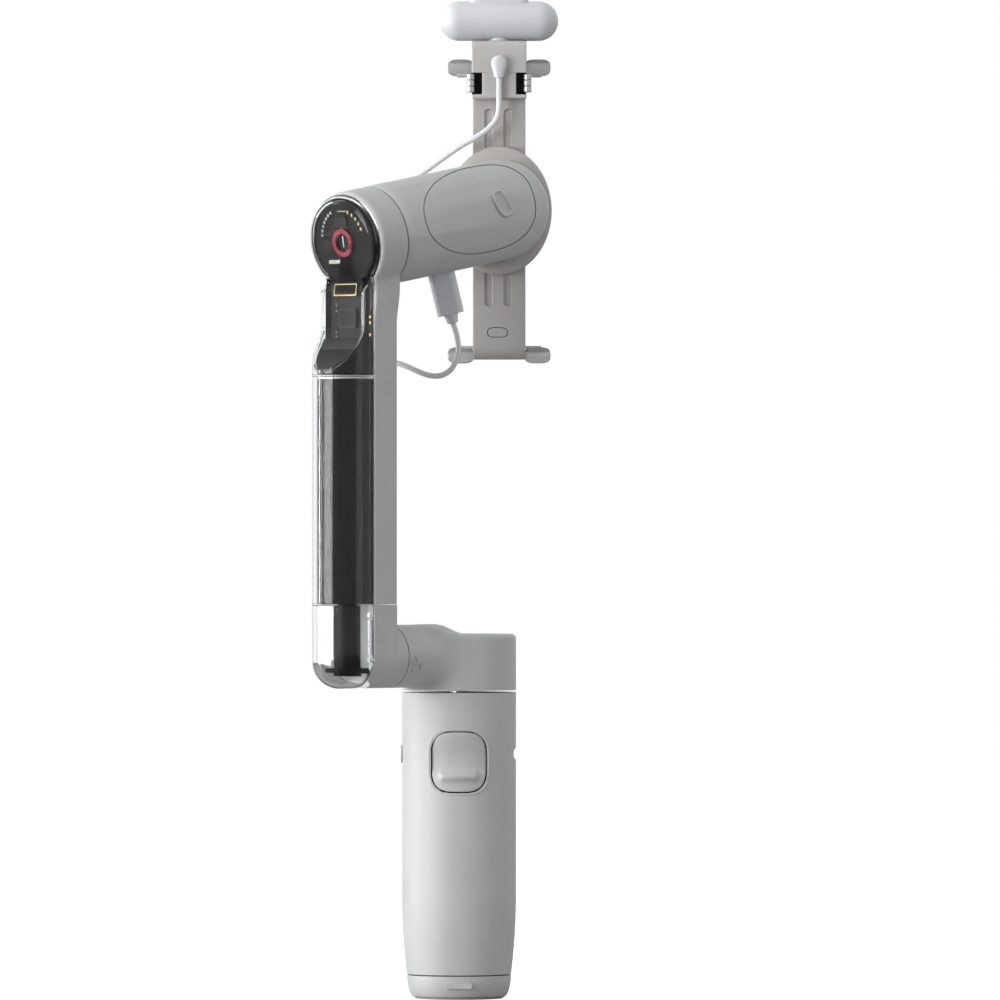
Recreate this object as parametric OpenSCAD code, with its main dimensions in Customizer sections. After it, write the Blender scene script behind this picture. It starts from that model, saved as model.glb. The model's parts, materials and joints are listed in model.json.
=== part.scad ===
// Folding three-axis phone stabilizer with a magnetic clamp and a lamp on the clamp.
// Origin: thread mount under the handle, on the pan axis. +Z up, trigger towards -Y, phone towards +Y.

/* [Handle] */
// Diameter of the handle
handle_d = 32.7; // [30:0.1:40]
// Height of the handle up to the pan seam
handle_h = 88.1; // [80:0.1:106]
// Height of the tripod cap at the bottom
cap_h = 6.7; // [5:0.1:8]
// Diameter of the tapped hole under the handle, at its thread crests
thread_d = 5.1; // [4.9:0.05:5.3]
// How far the tripod pulls out
tripod_travel = 24; // [10:1:25]

/* [Arm] */
// Height of the pan housing above its seam
pan_h = 16.4; // [14:0.1:22]
// Turn of the fold axis in plan, away from +X
arm_turn = 44; // [36:1:53]
// Distance from the pan axis to the arm's inner face
arm_face = 33; // [30:0.1:40]
// Width of the arm
arm_w = 18; // [18:0.1:20]
// Height of the roll axis above the fold axis
arm_len = 128.1; // [125:0.1:155]
// How far each stage of the rod pulls out
stage_travel = 53.7; // [30:0.1:54]

/* [Roll arm] */
// Diameter of the tilt motor's housing
tilt_d = 28.6; // [28:0.1:32]
// Diameter of the roll motor's end of the roll arm
roll_d = 28.4; // [28:0.1:32]
// Sideways place of the roll axis
roll_x = 11.5; // [9.6:0.1:14]
// Rise of the tilt axis towards the phone
tilt_rise = 9.6; // [8:0.1:11.5]

/* [Phone clamp] */
// Width that the jaws hold at rest
grip = 77.8; // [64:0.1:94]
// Width of the clamp's sliding plates
plate_w = 15.2; // [14.8:0.1:16]
// Diameter of the clamp disc
disc_d = 37.2; // [36:0.1:45]
// Depth of the room for the phone
phone_room = 9.6; // [8:0.1:12]

/* [Lamp] */
// Length of the lamp capsule
capsule_l = 34.3; // [28:0.1:42]
// Diameter of the lamp capsule
capsule_d = 11.5; // [9.6:0.1:13]
// Diameter of the lead
lead_d = 1.6; // [1.4:0.1:1.8]

/* [Hidden] */
$fn = 64;

stone = [0.64, 0.65, 0.64];
warm_grey = [0.60, 0.58, 0.55];
steel = [0.75, 0.75, 0.76];
black = [0.09, 0.09, 0.1];
copper = [0.72, 0.42, 0.2];
white = [0.94, 0.94, 0.96];
clear = [0.8, 0.84, 0.88, 0.4];
seam = 0.3;
run = 0.05;

// Handle
handle_r = handle_d / 2;
waist_r = handle_r - 1.45;
foot_r = waist_r - 2.5;
taper_z = 30;
cavity_r = waist_r - 1.2;
deck_z = handle_h - 4.1;
cell_z = 12.2;
cell_h = 48;
cell_r = 9.1;
carrier_z = cell_z + cell_h + 0.2;
trigger_z = handle_h - 20.2;
trigger_pin_y = 2.3 - cavity_r;
lug_y = 3.7 - cavity_r;
pin_r = 0.75;
trigger_pin_z = trigger_z + 6.8;
panel_w = 17;
panel_z = [handle_h - 50, handle_h - 5];
stick_z = handle_h - 19;
stick_pivot = handle_r - 5.2;
record_z = handle_h - 33;
mode_z = handle_h - 43;
port_z = handle_h - 18;
leg_r = cavity_r - 0.4;
leg_z = cap_h + 4.6;
leg_h = tripod_travel + 15;
leg_in_r = cell_r + 1.1;
leg_pin_r = leg_r - 1.9;
leg_pin_z = cap_h + 2.8;

// Arm, in its own frame: x runs along the fold axis from the pan axis, z is up
hinge_z = handle_h + 10.2;
boss_r = arm_w / 2;
boss_s = -(arm_face - 4.9);
spine_t = 8.8;
spine_s = -(arm_face + spine_t);
bow_s = spine_s - 3.6;
rod_s = spine_s - 2.3;
axle_s = spine_s + 4.4;
axle_l = 30;
arm_seam_z = hinge_z + 14.8;
sleeve_z = arm_seam_z + stage_travel + 10.5;
wall = 1.2;
tube_r = [2.0, 2.83, 3.63, 4.48];
tube_wall = 0.75;
tube_top = sleeve_z - 1.5;

// Roll arm and its two axes
roll_y = roll_x * tan(arm_turn);
roll_z = hinge_z + arm_len;
arm_slope = atan(tan(tilt_rise) / cos(arm_turn));
tilt_r = tilt_d / 2;
roll_r = roll_d / 2;
seam_run = (arm_face + 0.5 + roll_x / cos(arm_turn)) / cos(tilt_rise);
housing_run = seam_run + 11.7;
motor_r = 12.2;
coil_r = [3.3, 10.4];
shaft_r = 2.5;
front_y = -14;
back_y = 4.7;

// Clamp, in a frame whose origin is the roll axis at the roll arm's back
disc_r = disc_d / 2;
head_y = roll_y + back_y + seam;
disc_y = head_y + 0.3;
disc_t = 3.2;
plate_t = 1.0;
upper_y = disc_y + disc_t + 0.2;
lower_y = upper_y + plate_t + 0.2;
back_plate_y = lower_y + plate_t + 0.2;
back_plate_t = 1.2;
phone_y = back_plate_y + back_plate_t + 0.8;
jaw_z = grip / 2 + 0.8;
jaw_w = 29.6;
jaw_h = 4.8;
gear_module = 0.5;
gear_teeth = 12;
pitch_r = gear_module * gear_teeth / 2;
slot_half = pitch_r + 1.1;

// Lamp and lead
lamp_y = disc_y + 7.4;
bracket_y = upper_y - 2.3;
bracket_t = 1.2;
clip_x = 1.1;
bracket_z = roll_z + jaw_z + jaw_h + 4.6;
lamp_z = bracket_z + 1.1 + capsule_d / 2;
relief_z = bracket_z - 5.4;
mouth = [roll_x, bracket_y - 1.1, relief_z - 5.1];
plug_x = -20.4;
plug_y = -19;
plug_size = [7.7, 4.6, 12.4];
// From the mouth of the lead's relief, then from the middle of the roll axis
lead_top = [[0, 0, 0], [0, 0, -5], [-0.1, -0.1, -9.6]];
lead_points = [
    [-0.9, 5.1, 26.3], [-3.1, 5.1, 23.6], [-6.8, 5.3, 21], [-11.1, 5.9, 18.6], [-15.5, 6.7, 15.6],
    [-20.5, 7.3, 12], [-26.5, 6.9, 7.6], [-32.5, 5.3, 2.6], [-38.5, 2.5, -4.4], [-43, -1.1, -12.4],
    [-45.5, -5.1, -21.4], [-45.9, -8.7, -30.4], [-43.1, -12.1, -38.4], [-36.5, -15.1, -42.8],
    [-28.5, -17.5, -44.5], [-21.5, -19.1, -47.4], [-17.5, -19.5, -48], [-14.5, -19.5, -46.8],
    [-12.7, -19.5, -44.4], [-11.7, -19.3, -41], [-12, -19.1, -37], [-13.2, -19, -32.9],
];
lead_steps = 2;
lead_sides = 8;

// Frames
module arm_frame() {
    rotate([0, 0, arm_turn]) children();
}

module tilt_frame(x = 0) {
    translate([roll_x, roll_y, roll_z])
        arm_frame()
            rotate([0, -tilt_rise, 0])
                translate([x, 0, 0]) children();
}

module roll_frame() {
    translate([roll_x, roll_y, roll_z]) rotate([0, -arm_slope, 0]) children();
}

module clamp_frame() {
    translate([roll_x, 0, roll_z]) children();
}

module along_x() {
    rotate([0, 90, 0]) children();
}

module along_y() {
    rotate([-90, 0, 0]) children();
}

// A flat shape with round corners, of true arcs
module rounded(w, h, r) {
    square([w - 2 * r, h], center = true);
    square([w, h - 2 * r], center = true);
    for (x = [-1, 1], y = [-1, 1])
        translate([x * (w / 2 - r), y * (h / 2 - r)]) circle(r);
}

// A rounded block that faces -Y, its middle at the origin, t deep
module face_block(w, h, r, t) {
    translate([0, t / 2, 0]) rotate([90, 0, 0]) linear_extrude(t) rounded(w, h, r);
}

// A cylinder along X, its middle at the origin
module rod_across(r, h) {
    along_x() cylinder(r = r, h = h, center = true);
}

module ring(r_in, r_out, h) {
    difference() {
        cylinder(r = r_out, h = h);
        translate([0, 0, -1]) cylinder(r = r_in, h = h + 2);
    }
}

// Handle

function handle_radius(z) =
    z >= taper_z ? handle_r : handle_r - (handle_r - waist_r) * pow((taper_z - z) / (taper_z - cap_h), 2);

function cap_radius(z) = foot_r + (waist_r - foot_r) * sqrt(1 - pow(1 - z / cap_h, 2));

module handle_solid(top) {
    rotate_extrude($fn = 96)
        polygon(concat(
            [[0, cap_h + seam]],
            [for (i = [0:6]) let (z = cap_h + seam + (taper_z - cap_h - seam) * i / 6) [handle_radius(z), z]],
            [[handle_r, top], [0, top]]
        ));
}

module trigger_window(grow) {
    translate([0, -handle_r, trigger_z]) face_block(15.2 + grow, 17 + grow, 5.6, 12);
}

module panel_window(grow) {
    z = (panel_z[0] + panel_z[1]) / 2;
    h = panel_z[1] - panel_z[0];
    translate([0, handle_r, z]) face_block(panel_w + grow, h + grow, 5, 14);
}

module handle_shell() {
    color(stone) difference() {
        handle_solid(handle_h - seam);
        cylinder(r = cavity_r, h = deck_z);
        cylinder(r = 5, h = handle_h + 1);
        trigger_window(0.8);
        panel_window(0);
        translate([handle_r, 0, port_z]) along_x() cube([3.6, 9.2, 12], center = true);
        translate([-handle_r, 0, port_z]) along_x() cylinder(r = 2.9, h = 12, center = true);
    }
}

// Tube round the cell, a deck over it, and posts and lugs that carry the parts above
module inner_frame() {
    color(black) difference() {
        union() {
            translate([0, 0, cell_z]) ring(cell_r + 0.1, cell_r + 0.7, cell_h + 0.2);
            translate([0, 0, carrier_z]) cylinder(r = cavity_r - 0.6, h = 1.2);
            for (x = [-1, 1]) {
                translate([x * 9.4 - 1, -8, carrier_z]) cube([2, 2.6, deck_z - 8 - carrier_z]);
                translate([x * 4.5 - 0.6, lug_y, carrier_z]) cube([1.2, 2, trigger_pin_z + 1.4 - carrier_z]);
                translate([x * 4.5 - 0.6, trigger_pin_y - 0.85, trigger_pin_z - 1.4])
                    cube([1.2, lug_y + 1 - trigger_pin_y, 2.8]);
            }
        }
        translate([-8.6, -cavity_r - 1, carrier_z - 1]) cube([17.2, cavity_r + 1 + lug_y, 4]);
        translate([0, trigger_pin_y, trigger_pin_z]) rod_across(pin_r, 20);
    }
}

module battery() {
    color([0.25, 0.35, 0.5]) {
        translate([0, 0, cell_z]) cylinder(r = cell_r, h = cell_h - 0.4);
        translate([0, 0, cell_z + cell_h - 0.4]) cylinder(r = 2.6, h = 0.5);
    }
}

module control_board() {
    color([0.1, 0.3, 0.2]) {
        translate([-7.6, 0.6, carrier_z + 1.4]) cube([15.2, 1, 13.6]);
        for (i = [0:2])
            translate([-5.6 + 4.4 * i, -0.5, carrier_z + 3]) cube([2.8, 1.2, 5.6]);
    }
}

module charging_port() {
    color(steel) translate([cavity_r - 4.4, 0, port_z]) along_x()
        difference() {
            linear_extrude(6) rounded(3.2, 8.8, 1.55);
            translate([0, 0, 1]) linear_extrude(6) rounded(2.6, 8.2, 1.25);
        }
}

// Wound motor core: hub, teeth and pole shoes
module stator(h) {
    hub_r = coil_r[0] + 2.4;
    linear_extrude(h) difference() {
        union() {
            circle(hub_r);
            for (i = [0:8])
                rotate(40 * i + 7) {
                    translate([0, -0.8]) square([coil_r[1] - 1, 1.6]);
                    translate([coil_r[1] - 1.4, -2.6]) square([1.2, 5.2]);
                }
        }
        circle(coil_r[0]);
    }
}

// Bell round a wound core, with its shaft from z = a to z = b
module rotor(h, a, b) {
    ring(motor_r - 1.2, motor_r, h);
    cylinder(r = motor_r, h = 1.2);
    translate([0, 0, a]) cylinder(r = shaft_r, h = b - a);
}

module pan_stator() {
    color(copper) translate([0, 0, deck_z - 5.6]) ring(5.4, cavity_r - 1, 5.4);
}

module pan_bearing() {
    color(steel) translate([0, 0, deck_z]) ring(shaft_r + run, 4.95, 3.4);
}

// Curved panel with its holes, and behind it the square frame that the joystick's yoke turns in
module control_panel() {
    color(black) {
        difference() {
            intersection() {
                handle_solid(handle_h - seam);
                panel_window(-0.3);
            }
            cylinder(r = cavity_r, h = handle_h);
            translate([0, handle_r - 1.9, stick_z]) along_y() cylinder(r = 7.8, h = 5);
            translate([0, 0, stick_z]) along_y() cylinder(r = 4.2, h = 30);
            translate([0, 0, record_z]) along_y() cylinder(r = 3.5, h = 30);
            translate([0, 0, mode_z]) along_y() cylinder(r = 2.5, h = 30);
        }
        translate([0, stick_pivot + 0.6, stick_z]) difference() {
            cube([12, 3.2, 12], center = true);
            cube([9.2, 4, 9.2], center = true);
        }
    }
}

module touch_ring() {
    color([0.2, 0.2, 0.2]) translate([0, handle_r - 1.85, stick_z]) along_y() ring(4.3, 7.6, 0.6);
}

module joystick_yoke() {
    color(steel) translate([0, stick_pivot, stick_z]) difference() {
        cube([8.2, 1.4, 8.2], center = true);
        cube([5.6, 4, 5.6], center = true);
    }
}

module joystick() {
    color(black) translate([0, stick_pivot, stick_z]) {
        cube([4.6, 1.4, 4.6], center = true);
        along_y() cylinder(r = 1.4, h = 6);
        translate([0, 5.4, 0]) along_y() cylinder(r = 3.4, h = 1.2);
        translate([0, 6.4, 0]) along_y() ring(1.6, 3.2, 0.6);
    }
}

module side_button(r, z) {
    translate([0, cavity_r - 2.2, z]) along_y() {
        cylinder(r = r + 0.7, h = 0.8);
        cylinder(r = r, h = handle_r - cavity_r + 2.6);
    }
}

module record_button() {
    color([0.75, 0.12, 0.1]) side_button(3.3, record_z);
}

module mode_button() {
    color(stone) side_button(2.3, mode_z);
}

module power_button() {
    color(stone) translate([-cavity_r + 1.4, 0, port_z]) rotate([0, -90, 0]) {
        cylinder(r = 3.3, h = 0.8);
        cylinder(r = 2.6, h = handle_r - cavity_r + 1.7);
    }
}

// Pad that follows the handle, hollowed for the finger, with the lug that its pin runs through
module trigger() {
    color(stone) difference() {
        union() {
            difference() {
                intersection() {
                    translate([0, 0, trigger_z - 12]) cylinder(r = handle_r, h = 24, $fn = 96);
                    trigger_window(0);
                }
                translate([0, 0, trigger_z - 13]) cylinder(r = cavity_r - 0.2, h = 26);
                translate([0, -handle_r - 16.2, trigger_z + 0.6]) rod_across(17.4, 20);
            }
            translate([-3.6, trigger_pin_y - 2.4, trigger_pin_z - 1.4]) cube([7.2, 3.8, 2.8]);
        }
        translate([0, trigger_pin_y, trigger_pin_z]) rod_across(pin_r + run, 20);
    }
}

module trigger_pin() {
    color(steel) translate([0, trigger_pin_y, trigger_pin_z]) rod_across(pin_r, 10.4);
}

// Bent leaf that pushes the trigger out
module trigger_spring() {
    color(steel) translate([-1.5, -cavity_r + 0.6, carrier_z + 1.3]) {
        cube([3, 0.3, 4.6]);
        cube([3, 6.5, 0.3]);
    }
}

module tripod_cap() {
    color(stone) difference() {
        union() {
            rotate_extrude($fn = 96)
                polygon(concat(
                    [[0, 0]],
                    [for (i = [0:8]) [cap_radius(cap_h * i / 8), cap_h * i / 8]],
                    [[0, cap_h]]
                ));
            translate([0, -waist_r + 2.4, 4]) face_block(7.7, 1.7, 0.8, 5.4);
        }
        translate([0, 0, -1]) cylinder(r = 5.05, h = cap_h + 2);
    }
}

module thread_insert() {
    color(steel) difference() {
        cylinder(r = 5, h = cap_h + 2);
        translate([0, 0, -1]) cylinder(d = thread_d, h = cap_h);
    }
}

module tripod_hub() {
    color(black) difference() {
        translate([0, 0, cap_h + 0.05]) cylinder(r = cavity_r - 0.4, h = 4.2);
        translate([0, 0, cap_h - 1]) cylinder(r = 5.05, h = 8);
        for (i = [0:2])
            rotate([0, 0, 120 * i + 30]) translate([leg_pin_r - 2.4, -2.7, cap_h + 1]) cube([10, 5.4, 6]);
    }
}

module tripod_legs() {
    color(steel) for (i = [0:2])
        rotate([0, 0, 120 * i + 30]) difference() {
            union() {
                translate([0, 0, leg_z]) rotate([0, 0, -44]) rotate_extrude(angle = 88)
                    translate([leg_in_r, 0]) square([leg_r - leg_in_r, leg_h]);
                translate([leg_in_r, -2.4, cap_h + 1.4]) cube([leg_r - leg_in_r - 0.5, 4.8, 5]);
            }
            translate([leg_pin_r, 0, leg_pin_z]) rotate([90, 0, 0])
                cylinder(r = pin_r + run, h = 20, center = true);
        }
}

module tripod_pins() {
    color(steel) for (i = [0:2])
        rotate([0, 0, 120 * i + 30]) translate([leg_pin_r, 0, leg_pin_z])
            rotate([90, 0, 0]) cylinder(r = pin_r, h = 5.3, center = true);
}

// Pan housing and fold hinge

// Fold boss, from its seam to its round end over the housing
module fold_boss() {
    round_r = 5.5;
    end_s = -5;
    arm_frame() translate([boss_s, 0, hinge_z]) along_x() rotate_extrude()
        polygon(concat(
            [[0, 0], [boss_r, 0]],
            [for (i = [0:6]) let (a = 15 * i)
                [boss_r - round_r * (1 - cos(a)), end_s - boss_s - round_r * (1 - sin(a))]],
            [[0, end_s - boss_s]]
        ));
}

module pan_housing() {
    edge = 1.3;
    top = handle_h + pan_h;
    color(stone) difference() {
        union() {
            translate([0, 0, handle_h + seam]) cylinder(r = handle_r, h = pan_h - seam - edge, $fn = 96);
            rotate_extrude($fn = 96) translate([handle_r - edge, top - edge]) circle(edge);
            translate([0, 0, top - 2 * edge]) cylinder(r = handle_r - edge, h = 2 * edge, $fn = 96);
            fold_boss();
        }
        translate([0, 0, handle_h - 1]) cylinder(r = shaft_r, h = 5.6);
        arm_frame() translate([axle_s + 1, 0, hinge_z]) along_x() cylinder(r = 3 + run, h = axle_l);
    }
}

module pan_rotor() {
    color(steel) {
        translate([0, 0, deck_z - 6]) cylinder(r = shaft_r, h = handle_h + 4.4 - deck_z + 6);
        translate([0, 0, deck_z - 7.2]) cylinder(r = cavity_r - 1, h = 1.2);
    }
}

// Arm

// Section of the arm: the spine's straight part and the bowed clear part
module bow_profile(inset, side_inset = 0) {
    r = arm_w / 2 - inset;
    intersection() {
        union() {
            translate([bow_s, 0]) circle(r);
            translate([bow_s, -r]) square([spine_s - bow_s, 2 * r]);
        }
        translate([bow_s - 20, -20]) square([20 + spine_s - 0.15 + side_inset - bow_s, 40]);
    }
}

// Cuts the arm's bottom end round about the fold axis, inset from its surface
module round_end(inset, top) {
    r = arm_w / 2 - inset;
    translate([bow_s - 20, 0, hinge_z]) along_x() cylinder(r = r, h = 60);
    translate([bow_s - 20, -r, hinge_z]) cube([60, 2 * r, top - hinge_z]);
}

// The hollow inside a clear part, open towards the spine
module bow_hollow() {
    bow_profile(wall, 0.1);
    translate([bow_s, wall - arm_w / 2]) square([8, arm_w - 2 * wall]);
}

module lower_spine() {
    color(stone) arm_frame() difference() {
        union() {
            intersection() {
                translate([spine_s, -arm_w / 2, 0]) cube([spine_t, arm_w, arm_seam_z]);
                round_end(0, arm_seam_z);
            }
            translate([-arm_face - 1, 0, hinge_z]) along_x()
                cylinder(r = boss_r, h = boss_s - seam + arm_face + 1);
        }
        translate([axle_s, 0, hinge_z]) along_x() cylinder(r = 3, h = 20);
        translate([rod_s, 0, 0]) cylinder(r = 6.4, h = 200);
    }
}

module lower_clear_cap() {
    color(clear) arm_frame() difference() {
        intersection() {
            linear_extrude(arm_seam_z) bow_profile(0);
            round_end(0, arm_seam_z);
        }
        intersection() {
            linear_extrude(arm_seam_z + 1) bow_hollow();
            round_end(wall, arm_seam_z + 1);
        }
    }
}

module fold_axle() {
    color(steel) arm_frame() translate([axle_s, 0, hinge_z]) along_x() cylinder(r = 3, h = axle_l);
}

// Foot with its flange and the thinnest tube of the rod, one pressed piece
module rod_foot() {
    color(black) arm_frame() translate([rod_s, 0, 0]) {
        translate([0, 0, hinge_z - 4.4]) cylinder(r = 6.3, h = 1.3);
        translate([0, 0, hinge_z - 5.4]) cylinder(r = 3.85, h = arm_seam_z - hinge_z + 5);
        translate([0, 0, hinge_z]) ring(tube_r[0], tube_r[0] + tube_wall, tube_top - hinge_z);
    }
}

// Bright strip and four screw heads on the spine, seen through the clear cap
module cap_fittings() {
    color(steel) arm_frame() translate([spine_s - 0.8, 0, hinge_z]) {
        translate([0, -7.2, 0.6]) cube([0.75, 0.8, 10]);
        for (y = [-6.8, 6.8], z = [-0.7, 11.9])
            translate([0, y, z]) along_x() cylinder(r = 0.8, h = 0.75);
    }
}

module rod_tube(i) {
    arm_frame() translate([rod_s, 0, arm_seam_z + 0.5])
        ring(tube_r[i], tube_r[i] + (i == 3 ? 0.82 : 0.72), tube_top - arm_seam_z - 0.5);
}

module rod_tube_2() {
    color(steel) rod_tube(1);
}

module rod_tube_3() {
    color(steel) rod_tube(2);
}

module rod_tube_4() {
    color(steel) rod_tube(3);
}

// Spine and tilt motor housing, one moulding
module arm_spine() {
    color(stone) difference() {
        union() {
            arm_frame() translate([spine_s, -arm_w / 2, arm_seam_z + 0.15])
                cube([spine_t, arm_w, roll_z - 12 - arm_seam_z]);
            tilt_frame(-housing_run) along_x()
                cylinder(r = tilt_r, h = housing_run - seam_run - seam, $fn = 96);
        }
        tilt_frame(-housing_run - 20) along_x() cylinder(r = motor_r + 0.4, h = 20 + 9.4);
        tilt_frame(-housing_run) along_x() cylinder(r = shaft_r + run, h = 40);
        arm_frame() translate([rod_s, 0, 0]) cylinder(r = 6.4, h = sleeve_z + 0.2);
    }
}

module clear_tube() {
    color(clear) arm_frame() translate([0, 0, arm_seam_z + 0.15]) difference() {
        linear_extrude(sleeve_z + 0.85 - arm_seam_z) bow_profile(0);
        translate([0, 0, -1]) linear_extrude(sleeve_z + 3 - arm_seam_z) bow_hollow();
    }
}

// Flat window, the scoop below it, and the low dome over the tilt motor
module clear_window() {
    flat_s = -(arm_face + 15);
    color(clear) difference() {
        union() {
            arm_frame() window_block(flat_s, 0);
            tilt_frame(-housing_run - 2.4) along_x() cylinder(r = tilt_r - 1, h = 2.3);
        }
        arm_frame() window_block(flat_s + wall, wall);
        tilt_frame(-housing_run - 1.2) along_x() cylinder(r = tilt_r - 1 - wall, h = 10);
        tilt_frame(-housing_run) along_x() cylinder(r = tilt_r + 0.15, h = 30);
    }
}

// Flat-faced block over the board, which swells to the tube's section at its foot
module window_block(flat_s, inset) {
    low = sleeve_z + 1.15 - inset;
    knee = sleeve_z + 12;
    hull() {
        translate([0, 0, low]) linear_extrude(0.6) bow_profile(inset, inset);
        translate([0, 0, knee]) linear_extrude(0.6) window_section(flat_s, inset);
    }
    translate([0, 0, knee]) linear_extrude(roll_z - 17 - knee + inset) window_section(flat_s, inset);
}

module window_section(flat_s, inset) {
    w = arm_w / 2 - 1 - inset;
    corner = 3;
    long = spine_s - 0.15 + inset - flat_s;
    translate([flat_s, corner - w]) square([long, 2 * (w - corner)]);
    translate([flat_s + corner, -w]) square([long - corner, 2 * w]);
    for (y = [-1, 1])
        translate([flat_s + corner, y * (w - corner)]) circle(corner, $fn = 32);
}

// Sleeve that lines the clear tube and guides the rod, closed at its top
module black_sleeve() {
    color(black) arm_frame() difference() {
        union() {
            translate([0, 0, arm_seam_z + 0.3]) linear_extrude(sleeve_z - arm_seam_z - 0.3) bow_profile(1.4);
            translate([rod_s, 0, arm_seam_z + 0.3]) cylinder(r = 6.3, h = sleeve_z - arm_seam_z - 0.3);
        }
        translate([rod_s, 0, 0]) cylinder(r = tube_r[3] + 0.82 + 0.08, h = tube_top + 0.2);
    }
}

// Board with a framed chip, a square chip and a row of pads
module main_board() {
    board_s = spine_s - 2.2;
    color([0.12, 0.13, 0.12]) arm_frame() {
        translate([board_s, -6.3, sleeve_z + 4.5]) cube([0.8, 12.6, roll_z - 26.6 - sleeve_z]);
        translate([board_s - 0.8, -5.2, roll_z - 25.6]) cube([0.85, 9.6, 3.7]);
        translate([board_s - 0.8, -4.8, roll_z - 34.6]) cube([0.85, 7.1, 5.6]);
        for (i = [0:5])
            translate([board_s - 0.3, 3.4, roll_z - 37 + 1.9 * i]) cube([0.35, 1, 1]);
    }
}

module round_board() {
    color([0.12, 0.13, 0.12]) tilt_frame(-housing_run + 0.3) along_x() difference() {
        cylinder(r = motor_r - 0.4, h = 0.8);
        translate([0, 0, -1]) cylinder(r = 2.6, h = 4);
    }
}

module tilt_coil() {
    color([0.7, 0.08, 0.06]) tilt_frame(-housing_run - 0.6) along_x() ring(2.7, 4.0, 0.85);
}

module tilt_stator() {
    color(copper) tilt_frame(-housing_run + 1.2) along_x() stator(5.2);
}

module tilt_rotor() {
    bell = housing_run - 8.9;
    color(steel) tilt_frame(-bell) rotate([0, -90, 0]) rotor(6.6, seam_run - bell - 3.4, 7);
}

// Roll arm

// Soft elbow round the tilt axis at one end and the roll axis at the other
module elbow(inset) {
    hull() {
        tilt_frame(-seam_run) along_x() cylinder(r = tilt_r - inset, h = 20, $fn = 48);
        roll_frame() translate([0, front_y + inset, 0]) along_y() {
            cylinder(r = roll_r - 5 - inset, h = 8, $fn = 48);
            translate([0, 0, 4]) cylinder(r = roll_r - inset, h = back_y - front_y - 4 - inset, $fn = 48);
        }
    }
}

// Outline of the cover, as far back as the fold axis's plane
module cover_prism(grow) {
    intersection() {
        roll_frame() translate([-9, -60, 0.4]) along_y() linear_extrude(51) union() {
            translate([7.5, 0]) circle(11.6 + grow);
            translate([-5.5, 0]) circle(11 + grow);
            translate([-5.5, -11 - grow]) square([13, 22 + 2 * grow]);
        }
        arm_frame() translate([-100, -80, roll_z - 60]) cube([200, 80, 120]);
    }
}

module roll_arm_shell() {
    color(stone) difference() {
        elbow(0);
        tilt_frame(-seam_run + 4.4) along_x() cylinder(r = motor_r - 1.6, h = 12);
        tilt_frame(-seam_run - 1) along_x() cylinder(r = shaft_r, h = 6);
        roll_frame() translate([0, -8.6, 0]) along_y() cylinder(r = motor_r + 0.4, h = back_y + 7.4);
        roll_frame() along_y() cylinder(r = shaft_r + run, h = 40);
        difference() {
            cover_prism(0.12);
            elbow(1.4);
        }
        roll_frame() translate([plug_x, plug_y, -20]) linear_extrude(13)
            rounded(plug_size[0] + 0.2, plug_size[1] + 0.2, 2);
    }
}

module roll_cover() {
    color(stone) intersection() {
        cover_prism(0);
        difference() {
            elbow(0);
            elbow(1.3);
        }
    }
}

module roll_stator() {
    color(copper) roll_frame() translate([0, -8.6, 0]) along_y() stator(6);
}

// Bell of the roll motor, its shaft and the magnet-faced head that the clamp sits on
module roll_head() {
    color(steel) roll_frame() {
        translate([0, back_y - 1.9, 0]) rotate([90, 0, 0]) rotor(8, -2.4, 10);
        translate([0, back_y + seam, 0]) along_y() difference() {
            cylinder(r = motor_r + 1, h = 1.6);
            for (a = [30, 150, 270])
                rotate([0, 0, a]) translate([8, 0, 0.8]) cylinder(r = 2.6, h = 2);
        }
    }
}

// Lead and plug

function catmull(a, b, c, d, t) =
    0.5 * (2 * b + (c - a) * t + (2 * a - 5 * b + 4 * c - d) * t * t + (3 * b - a - 3 * c + d) * t * t * t);

function smooth_route(p, steps) =
    let (n = len(p) - 1)
    concat(
        [for (i = [0:n - 1], k = [0:steps - 1])
            catmull(p[max(i - 1, 0)], p[i], p[i + 1], p[min(i + 2, n)], k / steps)],
        [p[n]]
    );

function unit(v) = v / norm(v);

// One ring of a tube round point c, square to direction d
function tube_ring(c, d, r, sides) =
    let (u = unit(cross(d, [0.31, 0.89, 0.13])), v = cross(unit(d), u))
    [for (k = [0:sides - 1]) let (a = 360 * k / sides) c + r * (cos(a) * u + sin(a) * v)];

module tube_along(p, r, sides) {
    n = len(p);
    rings = [for (i = [0:n - 1]) tube_ring(p[i], p[min(i + 1, n - 1)] - p[max(i - 1, 0)], r, sides)];
    sides_faces = [
        for (i = [0:n - 2], k = [0:sides - 1])
            let (a = i * sides + k, b = i * sides + (k + 1) % sides)
            [a, b, b + sides, a + sides]
    ];
    ends = [
        [for (k = [sides - 1:-1:0]) k],
        [for (k = [0:sides - 1]) (n - 1) * sides + k],
    ];
    polyhedron([for (q = rings, c = q) c], concat(sides_faces, ends), convexity = 10);
}

module accessory_lead() {
    route = concat(
        [for (p = lead_top) p + mouth],
        [for (p = lead_points) p + [roll_x, roll_y, roll_z]]
    );
    color(white) tube_along(smooth_route(route, lead_steps), lead_d / 2, lead_sides);
}

// Plug, its metal tongue in the roll arm, and the sleeve where the lead goes in
module accessory_plug() {
    color(white) roll_frame() translate([plug_x, plug_y, -14]) {
        translate([0, 0, -plug_size[2]]) linear_extrude(plug_size[2] + 0.9)
            rounded(plug_size[0], plug_size[1], 1.9);
        linear_extrude(6.8) rounded(plug_size[0] - 0.5, 2.6, 1.2);
        translate([0, 0, -plug_size[2] - 2.6]) cylinder(r1 = 1.5, r2 = 2.1, h = 2.7);
    }
}

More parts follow.
